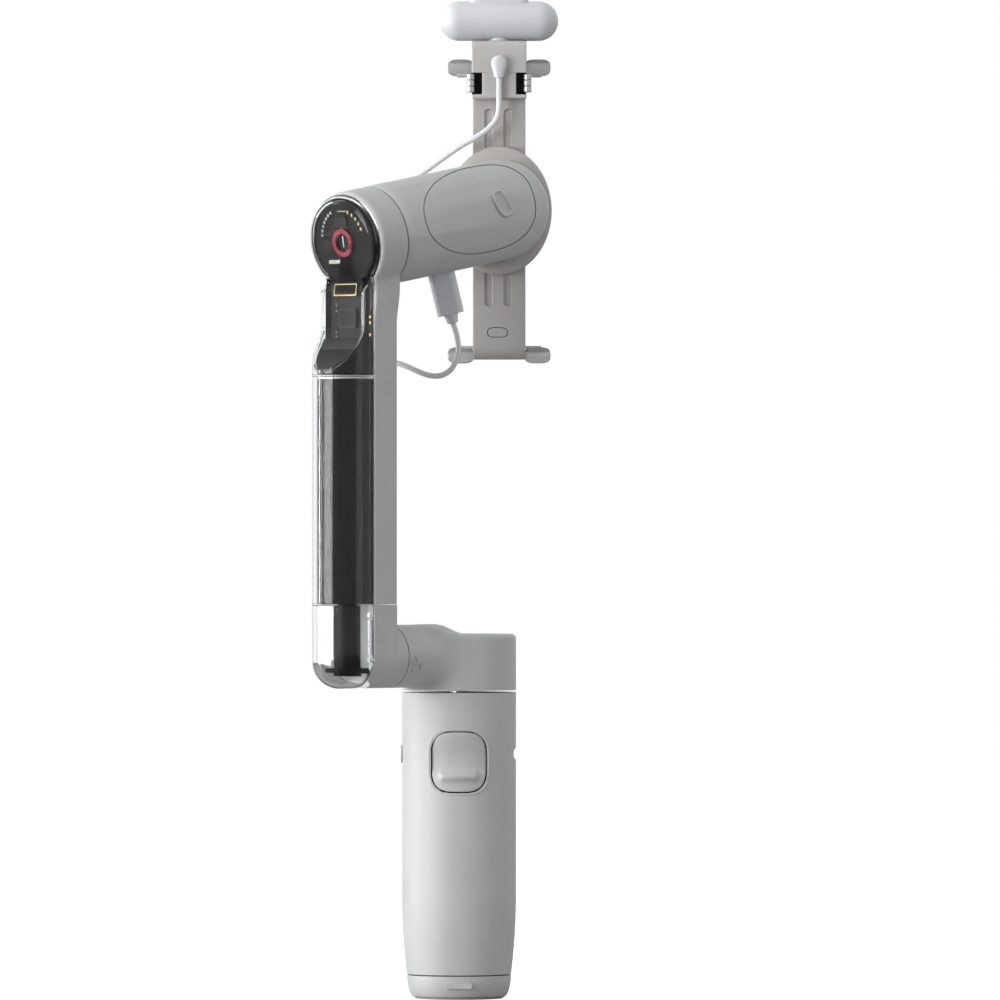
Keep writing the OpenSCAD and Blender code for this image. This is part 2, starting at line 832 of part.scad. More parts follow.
// Bulb on the bracket that the lead comes out of
module lead_relief() {
    color(white) {
        translate([roll_x, bracket_y - 2.3, relief_z]) along_y() cylinder(r = 2.1, h = 2.3);
        translate(mouth) cylinder(r1 = 1.0, r2 = 1.1, h = 4);
    }
}

// Phone clamp

module clamp_disc() {
    color(warm_grey) clamp_frame() difference() {
        union() {
            translate([0, disc_y, 0]) along_y() cylinder(r = disc_r, h = disc_t, $fn = 96);
            for (x = [-1, 1])
                translate([x * (plate_w / 2 + 1.3) - 1, disc_y + disc_t - 0.5, -10]) cube([2, 3.1, 20]);
        }
        translate([0, disc_y - 1, 0]) along_y() cylinder(r = motor_r + 1.5, h = 2.6);
        translate([0, disc_y + 2, 0]) along_y() cylinder(r = 1 + run, h = 4);
    }
}

// Plate that closes the slide from the phone's side, with its soft face
module clamp_back() {
    color(black) clamp_frame() translate([0, back_plate_y, 0]) {
        translate([0, back_plate_t / 2, 0]) face_block(plate_w + 5, 26, 3, back_plate_t);
        translate([0, back_plate_t + 0.25, 0]) face_block(plate_w + 4, 24, 3, 0.6);
    }
}

function tooth(a, w, r0, r1) = [
    [r0 * cos(a - w), r0 * sin(a - w)], [r1 * cos(a - w * 0.45), r1 * sin(a - w * 0.45)],
    [r1 * cos(a + w * 0.45), r1 * sin(a + w * 0.45)], [r0 * cos(a + w), r0 * sin(a + w)],
];

module clamp_pinion() {
    step = 360 / gear_teeth;
    color(steel) clamp_frame() translate([0, disc_y + 2.4, 0]) along_y() {
        cylinder(r = 1, h = 1);
        translate([0, 0, 0.9]) linear_extrude(2 * plate_t + 0.3)
            polygon([for (i = [0:gear_teeth - 1], q = tooth(step * i, 9.5, 2.45, pitch_r + 0.38)) q]);
    }
}

// Rack teeth that point along +x, their pitch line on x = 0, from z = a to z = b
module rack(a, b) {
    pitch = gear_module * PI;
    for (i = [floor(a / pitch):floor(b / pitch)])
        translate([0, (i + 0.5) * pitch])
            polygon([[-1.2, -0.62], [0.38, -0.22], [0.38, 0.22], [-1.2, 0.62]]);
}

// Sliding plate from its lower end to the jaw, slotted round the pinion, with its rack on one side
module jaw_plate(y, side) {
    low = -15;
    slot = [-12.5, 12.5];
    translate([0, y + plate_t, 0]) rotate([90, 0, 0]) linear_extrude(plate_t) {
        difference() {
            translate([-plate_w / 2, low]) square([plate_w, jaw_z + 2 - low]);
            translate([-slot_half, slot[0]]) square([2 * slot_half, slot[1] - slot[0]]);
        }
        intersection() {
            mirror([side < 0 ? 1 : 0, 0]) translate([-pitch_r, 0]) rack(-12, 12);
            translate([-slot_half - 0.2, slot[0]]) square([2 * slot_half + 0.4, slot[1] - slot[0]]);
        }
    }
}

// Bar over the phone's edge, with a claw at each end
module jaw_bar(y) {
    depth = phone_y + phone_room + 2.2 - y;
    claw = 6.8;
    translate([0, y + depth, jaw_z + jaw_h / 2]) rotate([90, 0, 0]) linear_extrude(depth)
        rounded(jaw_w, jaw_h, jaw_h / 2 - 0.01);
    for (x = [-1, 1])
        translate([x * (jaw_w - claw) / 2, phone_y + phone_room + 1.2, jaw_z - 0.8])
            rotate([90, 0, 0]) translate([0, 0, -1]) linear_extrude(2) rounded(claw, 4.6, 1.6);
}

module upper_jaw() {
    color(warm_grey) clamp_frame() difference() {
        union() {
            jaw_plate(upper_y, 1);
            jaw_bar(upper_y);
        }
        plate_grooves(upper_y, [22, 34]);
    }
}

module lower_jaw() {
    color(warm_grey) clamp_frame() mirror([0, 0, 1]) difference() {
        union() {
            jaw_plate(lower_y, -1);
            jaw_bar(lower_y);
        }
        plate_grooves(lower_y, [20, 29]);
    }
}

module plate_grooves(y, span) {
    for (x = [-1, 1])
        translate([x * 2.7, y, (span[0] + span[1]) / 2]) face_block(2.2, span[1] - span[0], 1, 0.9);
}

// Soft liner inside a jaw
module jaw_liner() {
    translate([-jaw_w / 2 + 2.6, phone_y + 0.4, jaw_z - 0.75]) cube([jaw_w - 5.2, phone_room - 1, 0.7]);
}

module upper_liner() {
    color(white) clamp_frame() jaw_liner();
}

module lower_liner() {
    color(white) clamp_frame() mirror([0, 0, 1]) jaw_liner();
}

// Lamp on the upper jaw

// Plate with its tongue, rolled lip and lamp shelf, and the lugs and pins that the clips turn on
module lamp_bracket() {
    color(warm_grey) translate([roll_x, bracket_y, bracket_z]) {
        translate([0, bracket_t / 2, -5.05]) face_block(plate_w + 0.5, 10.1, 1.2, bracket_t);
        translate([0, bracket_t / 2, -13.4]) face_block(10, 8, 0.6, bracket_t);
        translate([-plate_w / 2 - 0.2, 0, -17.4]) cube([plate_w + 0.4, bracket_t + 0.7, 1.5]);
        translate([-plate_w / 2, 0, -1.4]) cube([plate_w, 9, 1.4]);
        for (x = [-1, 1], z = [-11.3, -17]) {
            mirror([x < 0 ? 1 : 0, 0, 0]) translate([plate_w / 2 - 1, 0, z])
                cube([clip_x + 2, bracket_t, 1.5]);
            translate([x * (plate_w / 2 + clip_x), 0.6, -16.2]) cylinder(r = 0.6, h = 6.2);
        }
    }
}

// Side clip: knuckle, arm past the plate's edge and hook behind it
module clip() {
    translate([roll_x, bracket_y, bracket_z]) difference() {
        translate([plate_w / 2 + clip_x, 0.6, -15.3]) {
            cylinder(r = 1.1, h = 3.8);
            translate([-0.4, 0, 0]) cube([1, 4.4, 3.8]);
            translate([-1.9, 3.6, 0]) cube([2.5, 0.8, 3.8]);
        }
        translate([plate_w / 2 + clip_x, 0.6, -20]) cylinder(r = 0.6 + run, h = 20);
    }
}

module left_clip() {
    color(steel) translate([2 * roll_x, 0, 0]) mirror([1, 0, 0]) clip();
}

module right_clip() {
    color(steel) clip();
}

module capsule(r) {
    reach = (capsule_l - capsule_d) / 2;
    along_x() rotate_extrude() intersection() {
        translate([0, -capsule_l]) square(2 * capsule_l);
        union() {
            translate([-r, -reach]) square([2 * r, 2 * reach]);
            for (x = [-reach, reach])
                translate([0, x]) circle(r);
        }
    }
}

module window_cut(grow) {
    translate([0, 6, 0])
        cube([capsule_l - capsule_d + grow, 6 + grow, capsule_d * 0.56 + grow], center = true);
}

module lamp_body() {
    color(white) {
        translate([roll_x, lamp_y, lamp_z]) difference() {
            union() {
                capsule(capsule_d / 2);
                translate([0, 0, -capsule_d / 2 - 1]) cylinder(r = 3.1, h = 3);
                translate([0, 0, capsule_d / 2 - 1]) linear_extrude(1.7) rounded(16.8, 6, 2.9);
            }
            capsule(capsule_d / 2 - 1.4);
            window_cut(0.2);
        }
    }
}

module lamp_window() {
    color([1, 0.98, 0.9]) translate([roll_x, lamp_y, lamp_z]) intersection() {
        difference() {
            capsule(capsule_d / 2 - 0.1);
            capsule(capsule_d / 2 - 1.2);
        }
        window_cut(0);
    }
}

handle_shell();
inner_frame();
battery();
control_board();
charging_port();
pan_stator();
pan_bearing();
control_panel();
touch_ring();
joystick_yoke();
joystick();
record_button();
mode_button();
power_button();
trigger();
trigger_pin();
trigger_spring();
tripod_cap();
thread_insert();
tripod_hub();
tripod_legs();
tripod_pins();
pan_housing();
pan_rotor();
lower_spine();
lower_clear_cap();
fold_axle();
rod_foot();
cap_fittings();
rod_tube_2();
rod_tube_3();
rod_tube_4();
arm_spine();
clear_tube();
clear_window();
black_sleeve();
main_board();
round_board();
tilt_coil();
tilt_stator();
roll_arm_shell();
roll_cover();
tilt_rotor();
roll_stator();
accessory_lead();
lead_relief();
accessory_plug();
roll_head();
clamp_disc();
clamp_back();
clamp_pinion();
upper_jaw();
lower_jaw();
upper_liner();
lower_liner();
lamp_bracket();
left_clip();
right_clip();
lamp_body();
lamp_window();
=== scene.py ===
"""Folding hand stabilizer: the visual model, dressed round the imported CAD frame."""

import json
import logging
import math
from dataclasses import dataclass
from enum import Enum
from typing import Callable, Sequence

import bmesh
import bpy
import numpy as np
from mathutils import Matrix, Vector


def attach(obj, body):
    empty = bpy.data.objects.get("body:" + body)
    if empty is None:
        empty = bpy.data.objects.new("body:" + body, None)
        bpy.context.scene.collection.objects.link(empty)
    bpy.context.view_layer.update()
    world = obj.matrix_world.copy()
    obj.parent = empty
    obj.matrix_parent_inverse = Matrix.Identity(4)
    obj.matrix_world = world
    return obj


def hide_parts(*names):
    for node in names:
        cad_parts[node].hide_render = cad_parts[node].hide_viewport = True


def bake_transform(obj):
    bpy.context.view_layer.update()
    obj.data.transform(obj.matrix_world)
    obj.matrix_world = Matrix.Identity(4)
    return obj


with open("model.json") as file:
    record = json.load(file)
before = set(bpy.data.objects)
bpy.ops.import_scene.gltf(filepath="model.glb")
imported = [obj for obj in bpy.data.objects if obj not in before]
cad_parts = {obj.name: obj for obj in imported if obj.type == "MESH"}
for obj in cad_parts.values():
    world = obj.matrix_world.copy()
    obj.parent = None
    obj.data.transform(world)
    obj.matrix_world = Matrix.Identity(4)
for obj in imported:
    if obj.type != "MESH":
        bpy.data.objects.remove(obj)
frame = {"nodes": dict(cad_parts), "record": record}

LOG = logging.getLogger("stabilizer")
MM = 0.001
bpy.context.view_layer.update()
Points = np.ndarray
Place = Callable[[Points], Points]


class Rides(Enum):
    """The CAD bodies that modelled pieces move with."""

    HANDLE = "handle"
    TRIGGER = "trigger"
    PAN = "pan"
    LOWER_ARM = "lower_arm"
    UPPER_ARM = "upper_arm"
    ROLL_ARM = "roll_arm"
    HEAD = "head"
    CLAMP = "clamp"
    UPPER_JAW = "upper_jaw"
    LOWER_JAW = "lower_jaw"
    LEFT_CLIP = "left_clip"
    RIGHT_CLIP = "right_clip"


# Places that the CAD source gives, in millimetres and degrees

ARM_TURN = math.radians(44.0)
TILT_RISE = math.radians(9.6)
ROLL_X, ROLL_Z = 11.5, 226.4
ROLL_Y = ROLL_X * math.tan(ARM_TURN)
ARM_SLOPE = math.atan(math.tan(TILT_RISE) / math.cos(ARM_TURN))
ROLL_S = ROLL_X / math.cos(ARM_TURN)
HANDLE_R, HANDLE_H = 16.35, 88.1
HINGE_Z = 98.3
ARM_SEAM_Z = 113.1
SLEEVE_Z = 177.3
HALF_W = 9.0
SPINE_S = -41.8
SPINE_BACK = -33.0
BOW_S = -45.4
SEAM_RUN = 50.2
RING_Z = 217.06
BAY_R, SHAFT_HOLE_R = 12.6, 2.55


def arm_place(p: Points) -> Points:
    """Arm frame (s along the fold axis, t across, z up) to the row frame, in millimetres."""
    c, s = math.cos(ARM_TURN), math.sin(ARM_TURN)
    return np.stack([p[..., 0] * c - p[..., 1] * s, p[..., 0] * s + p[..., 1] * c, p[..., 2]], -1)


def tilt_to_arm(p: Points) -> Points:
    """Tilt frame (x along the tilt axis from the roll axis) to the arm frame."""
    c, s = math.cos(TILT_RISE), math.sin(TILT_RISE)
    x, y, z = p[..., 0], p[..., 1], p[..., 2]
    return np.stack([ROLL_S + x * c - z * s, y, ROLL_Z + x * s + z * c], -1)


def tilt_place(p: Points) -> Points:
    """Tilt frame to the row frame."""
    return arm_place(tilt_to_arm(p))


def roll_place(p: Points) -> Points:
    """Roll frame (y along the roll axis, x up the arm's slope) to the row frame."""
    c, s = math.cos(ARM_SLOPE), math.sin(ARM_SLOPE)
    x, y, z = p[..., 0], p[..., 1], p[..., 2]
    return np.stack([ROLL_X + x * c - z * s, ROLL_Y + y, ROLL_Z + x * s + z * c], -1)


def clamp_place(p: Points) -> Points:
    """Clamp frame (origin on the roll axis, y as in the row frame) to the row frame."""
    return p + np.array([ROLL_X, 0.0, ROLL_Z])


def stay(p: Points) -> Points:
    """The row frame itself."""
    return p


# Finishes


class Shader:
    """A material's node tree, with short calls to add and join nodes."""

    def __init__(self, name: str) -> None:
        """Makes an empty node material of that name."""
        self.material = bpy.data.materials.new(name)
        self.material.use_nodes = True
        self.tree = self.material.node_tree
        self.tree.nodes.clear()
        self.out = self.tree.nodes.new("ShaderNodeOutputMaterial")
        self.place = self.tree.nodes.new("ShaderNodeTexCoord").outputs["Object"]

    def node(self, kind: str, **values: object) -> bpy.types.Node:
        """Adds a node.

        Args:
            kind: the node's type, without its ShaderNode prefix.
            values: properties of the node, or sockets by name with _ for a space.

        Returns:
            The new node.
        """
        made = self.tree.nodes.new("ShaderNode" + kind)
        for key, value in values.items():
            socket = made.inputs.get(key.replace("_", " "))
            if socket is None:
                setattr(made, key, value)
            elif isinstance(value, bpy.types.NodeSocket):
                self.tree.links.new(value, socket)
            else:
                socket.default_value = value
        return made

    def noise(self, scale: float, detail: float = 3.0, stretch: Sequence[float] = (1, 1, 1)) -> bpy.types.NodeSocket:
        """A noise value from 0 to 1 in object space, scale cells to a metre, stretched by axis."""
        place = self.node("Mapping", Vector=self.place, Scale=tuple(stretch)).outputs["Vector"]
        return self.node("TexNoise", Vector=place, Scale=scale, Detail=detail).outputs["Fac"]

    def blend(self, factor: object, a: Sequence[float], b: Sequence[float]) -> bpy.types.NodeSocket:
        """A colour from a to b as factor goes from 0 to 1."""
        mix = self.node("Mix", data_type="RGBA")
        if isinstance(factor, bpy.types.NodeSocket):
            self.tree.links.new(factor, mix.inputs[0])
        else:
            mix.inputs[0].default_value = factor
        for socket, value in ((mix.inputs[6], a), (mix.inputs[7], b)):
            if isinstance(value, bpy.types.NodeSocket):
                self.tree.links.new(value, socket)
            else:
                socket.default_value = (*value, 1.0)
        return mix.outputs[2]

    def span(
        self, value: bpy.types.NodeSocket, low: float, high: float, a: float = 0.35, b: float = 0.65
    ) -> bpy.types.NodeSocket:
        """Maps value from a..b to low..high."""
        return self.node("MapRange", Value=value, From_Min=a, From_Max=b, To_Min=low, To_Max=high).outputs["Result"]

    def finish(self, shader: bpy.types.Node) -> bpy.types.Material:
        """Joins the shader to the output and gives the material back."""
        self.tree.links.new(shader.outputs[0], self.out.inputs["Surface"])
        return self.material


@dataclass(frozen=True)
class Moulded:
    """A moulded plastic or rubber with a fine grain, soft mottling and slightly rounded edges.

    Attributes:
        colour: the base colour, linear.
        rough: the mean roughness.
        grain: height of the surface grain in metres.
        grain_scale: grain cells to a metre.
        mottle: how far the colour wanders, as a share.
        edge: radius of the edge rounding in metres.
        specular: the specular level.
        under: weight of light that scatters under the surface.
        coat: weight of a clear coat.
        through: weight of light that passes through.
    """

    name: str
    colour: tuple[float, float, float]
    rough: float = 0.5
    grain: float = 0.000012
    grain_scale: float = 5200.0
    mottle: float = 0.03
    edge: float = 0.0003
    specular: float = 0.5
    under: float = 0.0
    coat: float = 0.0
    through: float = 0.0

    def make(self) -> bpy.types.Material:
        """Builds the material."""
        s = Shader(self.name)
        wide = s.noise(70.0, 4.0)
        fine = s.noise(self.grain_scale, 2.0)
        low = tuple(c * (1 - self.mottle) for c in self.colour)
        high = tuple(min(1.0, c * (1 + self.mottle)) for c in self.colour)
        colour = s.blend(s.span(wide, 0, 1), low, high)
        speck = s.blend(s.span(fine, 0.0, 0.14), colour, tuple(c * 0.8 for c in self.colour))
        rounding = s.node("Bevel", samples=4, Radius=self.edge)
        bump = s.node("Bump", Strength=0.6, Distance=self.grain, Height=fine, Normal=rounding.outputs["Normal"])
        shader = s.node("BsdfPrincipled", Base_Color=speck, Normal=bump.outputs["Normal"])
        s.tree.links.new(s.span(wide, self.rough - 0.04, self.rough + 0.05), shader.inputs["Roughness"])
        shader.inputs["Specular IOR Level"].default_value = self.specular
        shader.inputs["Coat Weight"].default_value = self.coat
        shader.inputs["Transmission Weight"].default_value = self.through
        if self.under:
            shader.inputs["Subsurface Weight"].default_value = self.under
            shader.inputs["Subsurface Scale"].default_value = 0.002
        return s.finish(shader)


@dataclass(frozen=True)
class Metal:
    """A metal with brush lines along one axis and a little smudging."""

    name: str
    colour: tuple[float, float, float]
    rough: float = 0.3
    stretch: tuple[float, float, float] = (1.0, 1.0, 14.0)
    edge: float = 0.00015

    def make(self) -> bpy.types.Material:
        """Builds the material."""
        s = Shader(self.name)
        lines = s.noise(900.0, 3.0, self.stretch)
        smudge = s.noise(120.0, 3.0)
        colour = s.blend(s.span(smudge, 0, 1), tuple(c * 0.9 for c in self.colour), self.colour)
        rounding = s.node("Bevel", samples=4, Radius=self.edge)
        bump = s.node("Bump", Strength=0.3, Distance=0.00001, Height=lines, Normal=rounding.outputs["Normal"])
        shader = s.node("BsdfPrincipled", Base_Color=colour, Normal=bump.outputs["Normal"], Metallic=1.0)
        s.tree.links.new(s.span(lines, self.rough - 0.07, self.rough + 0.1), shader.inputs["Roughness"])
        return s.finish(shader)


@dataclass(frozen=True)
class ClearPlastic:
    """Clear polycarbonate with faint flow marks, which lets light through to what is inside; its colour turns
    near-black at grazing angles as painted shade for the dark reflections and refractions at its edges.
    """

    name: str
    tint: tuple[float, float, float]
    # painted shade: the near-black colour taken at grazing angles, for the dark reflections and refractions at the
    # edges
    painted_edge_shade: tuple[float, float, float] = (0.10, 0.10, 0.11)

    def make(self) -> bpy.types.Material:
        """Builds the material."""
        s = Shader(self.name)
        flow = s.noise(60.0, 2.0)
        bump = s.node("Bump", Strength=0.15, Distance=0.0002, Height=flow)
        glass = s.node("BsdfPrincipled", Normal=bump.outputs["Normal"])
        clear = s.blend(s.span(flow, 0, 1), self.tint, tuple(c * 0.97 for c in self.tint))
        # Painted shade: the colour runs to the dark edge colour as the surface turns away from the eye
        rim = s.node("LayerWeight", Blend=0.35).outputs["Facing"]
        painted_edge_shade = s.blend(s.span(rim, 0, 1, 0.45, 0.85), clear, self.painted_edge_shade)
        s.tree.links.new(painted_edge_shade, glass.inputs["Base Color"])
        s.tree.links.new(s.span(s.noise(400.0), 0.01, 0.04), glass.inputs["Roughness"])
        glass.inputs["IOR"].default_value = 1.38
        glass.inputs["Specular Tint"].default_value = (0.35, 0.35, 0.35, 1.0)
        glass.inputs["Transmission Weight"].default_value = 1.0
        through = s.node("BsdfTransparent", Color=(0.9, 0.9, 0.9, 1.0))
        ray = s.node("LightPath")
        mix = s.node("MixShader")
        s.tree.links.new(ray.outputs["Is Shadow Ray"], mix.inputs[0])
        s.tree.links.new(glass.outputs[0], mix.inputs[1])
        s.tree.links.new(through.outputs[0], mix.inputs[2])
        return s.finish(mix)


@dataclass(frozen=True)
class Printed:
    """A circuit board: dark lacquer with fine tracks and small lighter dots."""

    name: str
    colour: tuple[float, float, float]
    track: tuple[float, float, float]

    def make(self) -> bpy.types.Material:
        """Builds the material."""
        s = Shader(self.name)
        brick = s.node("TexBrick", Vector=s.place, Scale=160.0, Mortar_Size=0.03)
        cells = s.node("TexVoronoi", Vector=s.place, Scale=900.0)
        tracks = s.blend(s.span(brick.outputs["Fac"], 0.0, 0.5, 0.0, 1.0), self.colour, self.track)
        dots = s.span(cells.outputs["Distance"], 0.5, 0.0, 0.05, 0.16)
        colour = s.blend(dots, tracks, tuple(c * 1.8 for c in self.track))
        bump = s.node("Bump", Strength=0.4, Distance=0.00004, Height=brick.outputs["Fac"])
        shader = s.node("BsdfPrincipled", Base_Color=colour, Normal=bump.outputs["Normal"], Roughness=0.35)
        shader.inputs["Specular IOR Level"].default_value = 0.04
        return s.finish(shader)


@dataclass(frozen=True)
class Wound:
    """Enamelled wire: close rounded turns with a warm varnish, darker in the grooves between the turns as painted
    shade.
    """

    name: str
    colour: tuple[float, float, float]

    def make(self) -> bpy.types.Material:
        """Builds the material."""
        s = Shader(self.name)
        wave = s.node("TexWave", Vector=s.place, Scale=900.0, Distortion=1.5, Detail=1.0)
        # Painted shade: the colour falls to 0.45 of itself in the grooves between the turns, where the bump is lowest
        colour = s.blend(wave.outputs["Fac"], tuple(c * 0.45 for c in self.colour), self.colour)
        bump = s.node("Bump", Strength=0.8, Distance=0.00008, Height=wave.outputs["Fac"])
        shader = s.node("BsdfPrincipled", Base_Color=colour, Normal=bump.outputs["Normal"], Metallic=0.5)
        s.tree.links.new(s.span(s.noise(300.0), 0.25, 0.4), shader.inputs["Roughness"])
        return s.finish(shader)


FINISHES = {
    "stone_plastic": Moulded("stone plastic", (0.45, 0.462, 0.455), 0.48),
    "warm_grey_plastic": Moulded("warm grey plastic", (0.42, 0.405, 0.39), 0.42, grain=0.000008, edge=0.00025),
    "black_plastic": Moulded(
        "black plastic", (0.003, 0.003, 0.0035), 0.2, grain=0.000003, mottle=0.1, edge=0.0002, specular=0.06
    ),
    "dark_rubber": Moulded("dark rubber", (0.05, 0.05, 0.05), 0.65, mottle=0.08),
    "white_plastic": Moulded("white plastic", (0.60, 0.61, 0.64), 0.38, grain=0.000005, mottle=0.015, under=0.15),
    "lead_cover": Moulded("lead cover", (0.68, 0.69, 0.72), 0.45, grain=0.000006, mottle=0.02, under=0.15),
    "lamp_diffuser": Moulded("lamp diffuser", (0.85, 0.83, 0.76), 0.3, grain=0.00001, mottle=0.02, under=0.5, coat=0.2),
    "liner_rubber": Moulded("liner rubber", (0.55, 0.55, 0.55), 0.45, mottle=0.03, under=0.3),
    "red_plastic": Moulded("red plastic", (0.52, 0.02, 0.015), 0.35, mottle=0.05, coat=0.1),
    "bright_steel": Metal("bright steel", (0.72, 0.72, 0.73)),
    "rod_metal": Metal("rod metal", (0.55, 0.55, 0.57), 0.26, (3.0, 3.0, 0.3)),
    "clear_plastic": ClearPlastic("clear plastic", (0.97, 0.98, 0.985)),
    "circuit_board": Printed("circuit board", (0.0008, 0.0009, 0.0008), (0.003, 0.0033, 0.003)),
    "wound_copper": Wound("wound copper", (0.75, 0.33, 0.12)),
    "red_coil": Wound("red coil", (0.22, 0.008, 0.014)),
    "cell_wrap": Moulded("cell wrap", (0.06, 0.11, 0.22), 0.3, mottle=0.08, coat=0.4),
    "warm_grey_metal": Metal("warm grey metal", (0.50, 0.49, 0.47), 0.4, edge=0.0003),
    "bracket_grey": Moulded("bracket grey", (0.47, 0.455, 0.45), 0.4, grain=0.000006, edge=0.0003),
    "claw_gel": Moulded(
        "claw gel", (0.5, 0.5, 0.5), 0.12, grain=0.000003, mottle=0.04, edge=0.0004, coat=0.3, through=0.6
    ),
    "gold_contact": Metal("gold contact", (0.85, 0.62, 0.28), 0.3),
    "pale_ceramic": Moulded("pale ceramic", (0.50, 0.48, 0.40), 0.4, mottle=0.1, edge=0.00005),
    "chip_case": Moulded(
        "chip case", (0.002, 0.002, 0.0024), 0.4, grain=0.00001, mottle=0.1, edge=0.00005, specular=0.08
    ),
    "dark_line": Moulded("dark line", (0.05, 0.05, 0.05), 0.6, mottle=0.05, edge=0.00005),
}


class Wardrobe:
    """Makes each finish once and hands it out."""

    def __init__(self) -> None:
        """Starts with no material made."""
        self.made: dict[str, bpy.types.Material] = {}

    def get(self, name: str) -> bpy.types.Material:
        """The material of that name."""
        if name not in self.made:
            self.made[name] = FINISHES[name].make()
        return self.made[name]

    def dress(self, obj: bpy.types.Object, name: str) -> None:
        """Gives obj the one finish, in place of any it came with."""
        obj.data.materials.clear()
        obj.data.materials.append(self.get(name))


WARDROBE = Wardrobe()


# Meshes


def mesh_object(name: str, points: Points, faces: Sequence[Sequence[int]], sharp: float = 32.0) -> bpy.types.Object:
    """A smooth-shaded object from points in millimetres, its doubles merged and its faces pointing outwards.

    Args:
        name: the piece's name.
        points: the vertices, n by 3.
        faces: vertex numbers for each face.
        sharp: the angle in degrees over which an edge stays sharp.

    Returns:
        The object, at the origin.
    """
    mesh = bpy.data.meshes.new(name)
    mesh.from_pydata((points * MM).tolist(), [], [list(map(int, f)) for f in faces])
    work = bmesh.new()
    work.from_mesh(mesh)
    bmesh.ops.remove_doubles(work, verts=work.verts, dist=2e-6)
    bmesh.ops.dissolve_degenerate(work, edges=work.edges, dist=1e-7)
    bmesh.ops.recalc_face_normals(work, faces=work.faces)
    work.to_mesh(mesh)
    work.free()
    obj = bpy.data.objects.new(name, mesh)
    bpy.context.scene.collection.objects.link(obj)
    shade(obj, sharp)
    return obj


def shade(obj: bpy.types.Object, sharp: float = 32.0) -> None:
    """Smooth shading, with edges over the sharp angle kept."""
    mesh = obj.data
    mesh.polygons.foreach_set("use_smooth", np.ones(len(mesh.polygons), bool))
    mesh.set_sharp_from_angle(angle=math.radians(sharp))
    mesh.update()


def grid_faces(rows: int, columns: int, wrap: bool, start: int = 0) -> list[tuple[int, ...]]:
    """Quads over a grid of points numbered row by row, closed round its columns if wrap."""
    i, j = np.meshgrid(np.arange(rows - 1), np.arange(columns if wrap else columns - 1), indexing="ij")
    k = (j + 1) % columns
    quads = np.stack([i * columns + j, i * columns + k, (i + 1) * columns + k, (i + 1) * columns + j], -1)
    return [tuple(q) for q in (quads.reshape(-1, 4) + start)]


def skin(
    name: str, rows: Points, wrap: bool = True, ends: tuple[bool, bool] = (True, True), sharp: float = 32.0
) -> bpy.types.Object:
    """A surface through a grid of points (rows, columns, 3) in millimetres.

    Args:
        name: the piece's name.
        rows: the grid.
        wrap: whether each row is a closed loop.
        ends: whether the first and the last row are closed by a fan.
        sharp: the angle over which an edge stays sharp.

    Returns:
        The object.
    """
    n, m = rows.shape[:2]
    points = [rows.reshape(-1, 3)]
    faces = grid_faces(n, m, wrap)
    count = n * m
    for closed, first in zip(ends, (0, (n - 1) * m)):
        if closed:
            points.append(rows.reshape(-1, 3)[first:first + m].mean(0, keepdims=True))
            faces += [(first + j, first + (j + 1) % m, count) for j in range(m if wrap else m - 1)]
            count += 1
    return mesh_object(name, np.concatenate(points), faces, sharp)


def lathe(profile: Sequence[tuple[float, float]], place: Place, axis: str, sides: int = 96) -> Points:
    """Rows of a turned shape: each (radius, height) of the profile becomes a circle about axis x, y or z."""
    p = np.array(profile, float)
    a = np.linspace(0, 2 * math.pi, sides, endpoint=False)
    r, h = np.broadcast_arrays(p[:, :1], p[:, 1:])
    u, v = r * np.cos(a), r * np.sin(a)
    h = np.broadcast_to(h, u.shape)
    order = {"x": (h, u, v), "y": (u, h, v), "z": (u, v, h)}[axis]
    return place(np.stack(order, -1))


def bore(radius: float, low: float, high: float, place: Place, axis: str, sides: int = 96) -> bpy.types.Object:
    """A round cutter from low to high along an axis."""
    return skin("bore", lathe([(radius, low), (radius, high)], place, axis, sides))


def join(name: str, parts: Sequence[bpy.types.Object]) -> bpy.types.Object:
    """Joins objects into one mesh object."""
    chosen = list(parts)
    with bpy.context.temp_override(active_object=chosen[0], selected_editable_objects=chosen, selected_objects=chosen):
        bpy.ops.object.join()
    parts[0].name = name
    parts[0].data.name = name
    return parts[0]


def carve(obj: bpy.types.Object, cutter: bpy.types.Object, how: str = "DIFFERENCE") -> None:
    """Cuts obj by the cutter, which is then removed."""
    step = obj.modifiers.new("cut", "BOOLEAN")
    step.operation, step.object, step.solver = how, cutter, "EXACT"
    bpy.context.view_layer.update()
    done = bpy.data.meshes.new_from_object(obj.evaluated_get(bpy.context.evaluated_depsgraph_get()))
    obj.modifiers.clear()
    old, obj.data = obj.data, done
    done.name = obj.name
    bpy.data.meshes.remove(old)
    bpy.data.objects.remove(cutter)


def thicken(obj: bpy.types.Object, wall: float) -> None:
    """Gives a surface a wall, in millimetres, inwards."""
    step = obj.modifiers.new("wall", "SOLIDIFY")
    step.thickness, step.offset = wall * MM, -1.0
    step.use_even_offset = True


def settle(obj: bpy.types.Object, finish: str, body: Rides, slot: str, *nodes: str) -> None:
    """Dresses a finished piece, puts it on its body and hides the CAD nodes that it stands for.

    Args:
        obj: the piece.
        finish: the finish's name.
        body: the body that it rides on.
        slot: the record's material slot; not used.
        nodes: the CAD nodes that it replaces, if any.
    """
    WARDROBE.dress(obj, finish)
    if nodes:
        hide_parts(*nodes)
    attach(obj, body.value)
    LOG.info("%s: %d faces on %s", obj.name, len(obj.data.polygons), body.value)


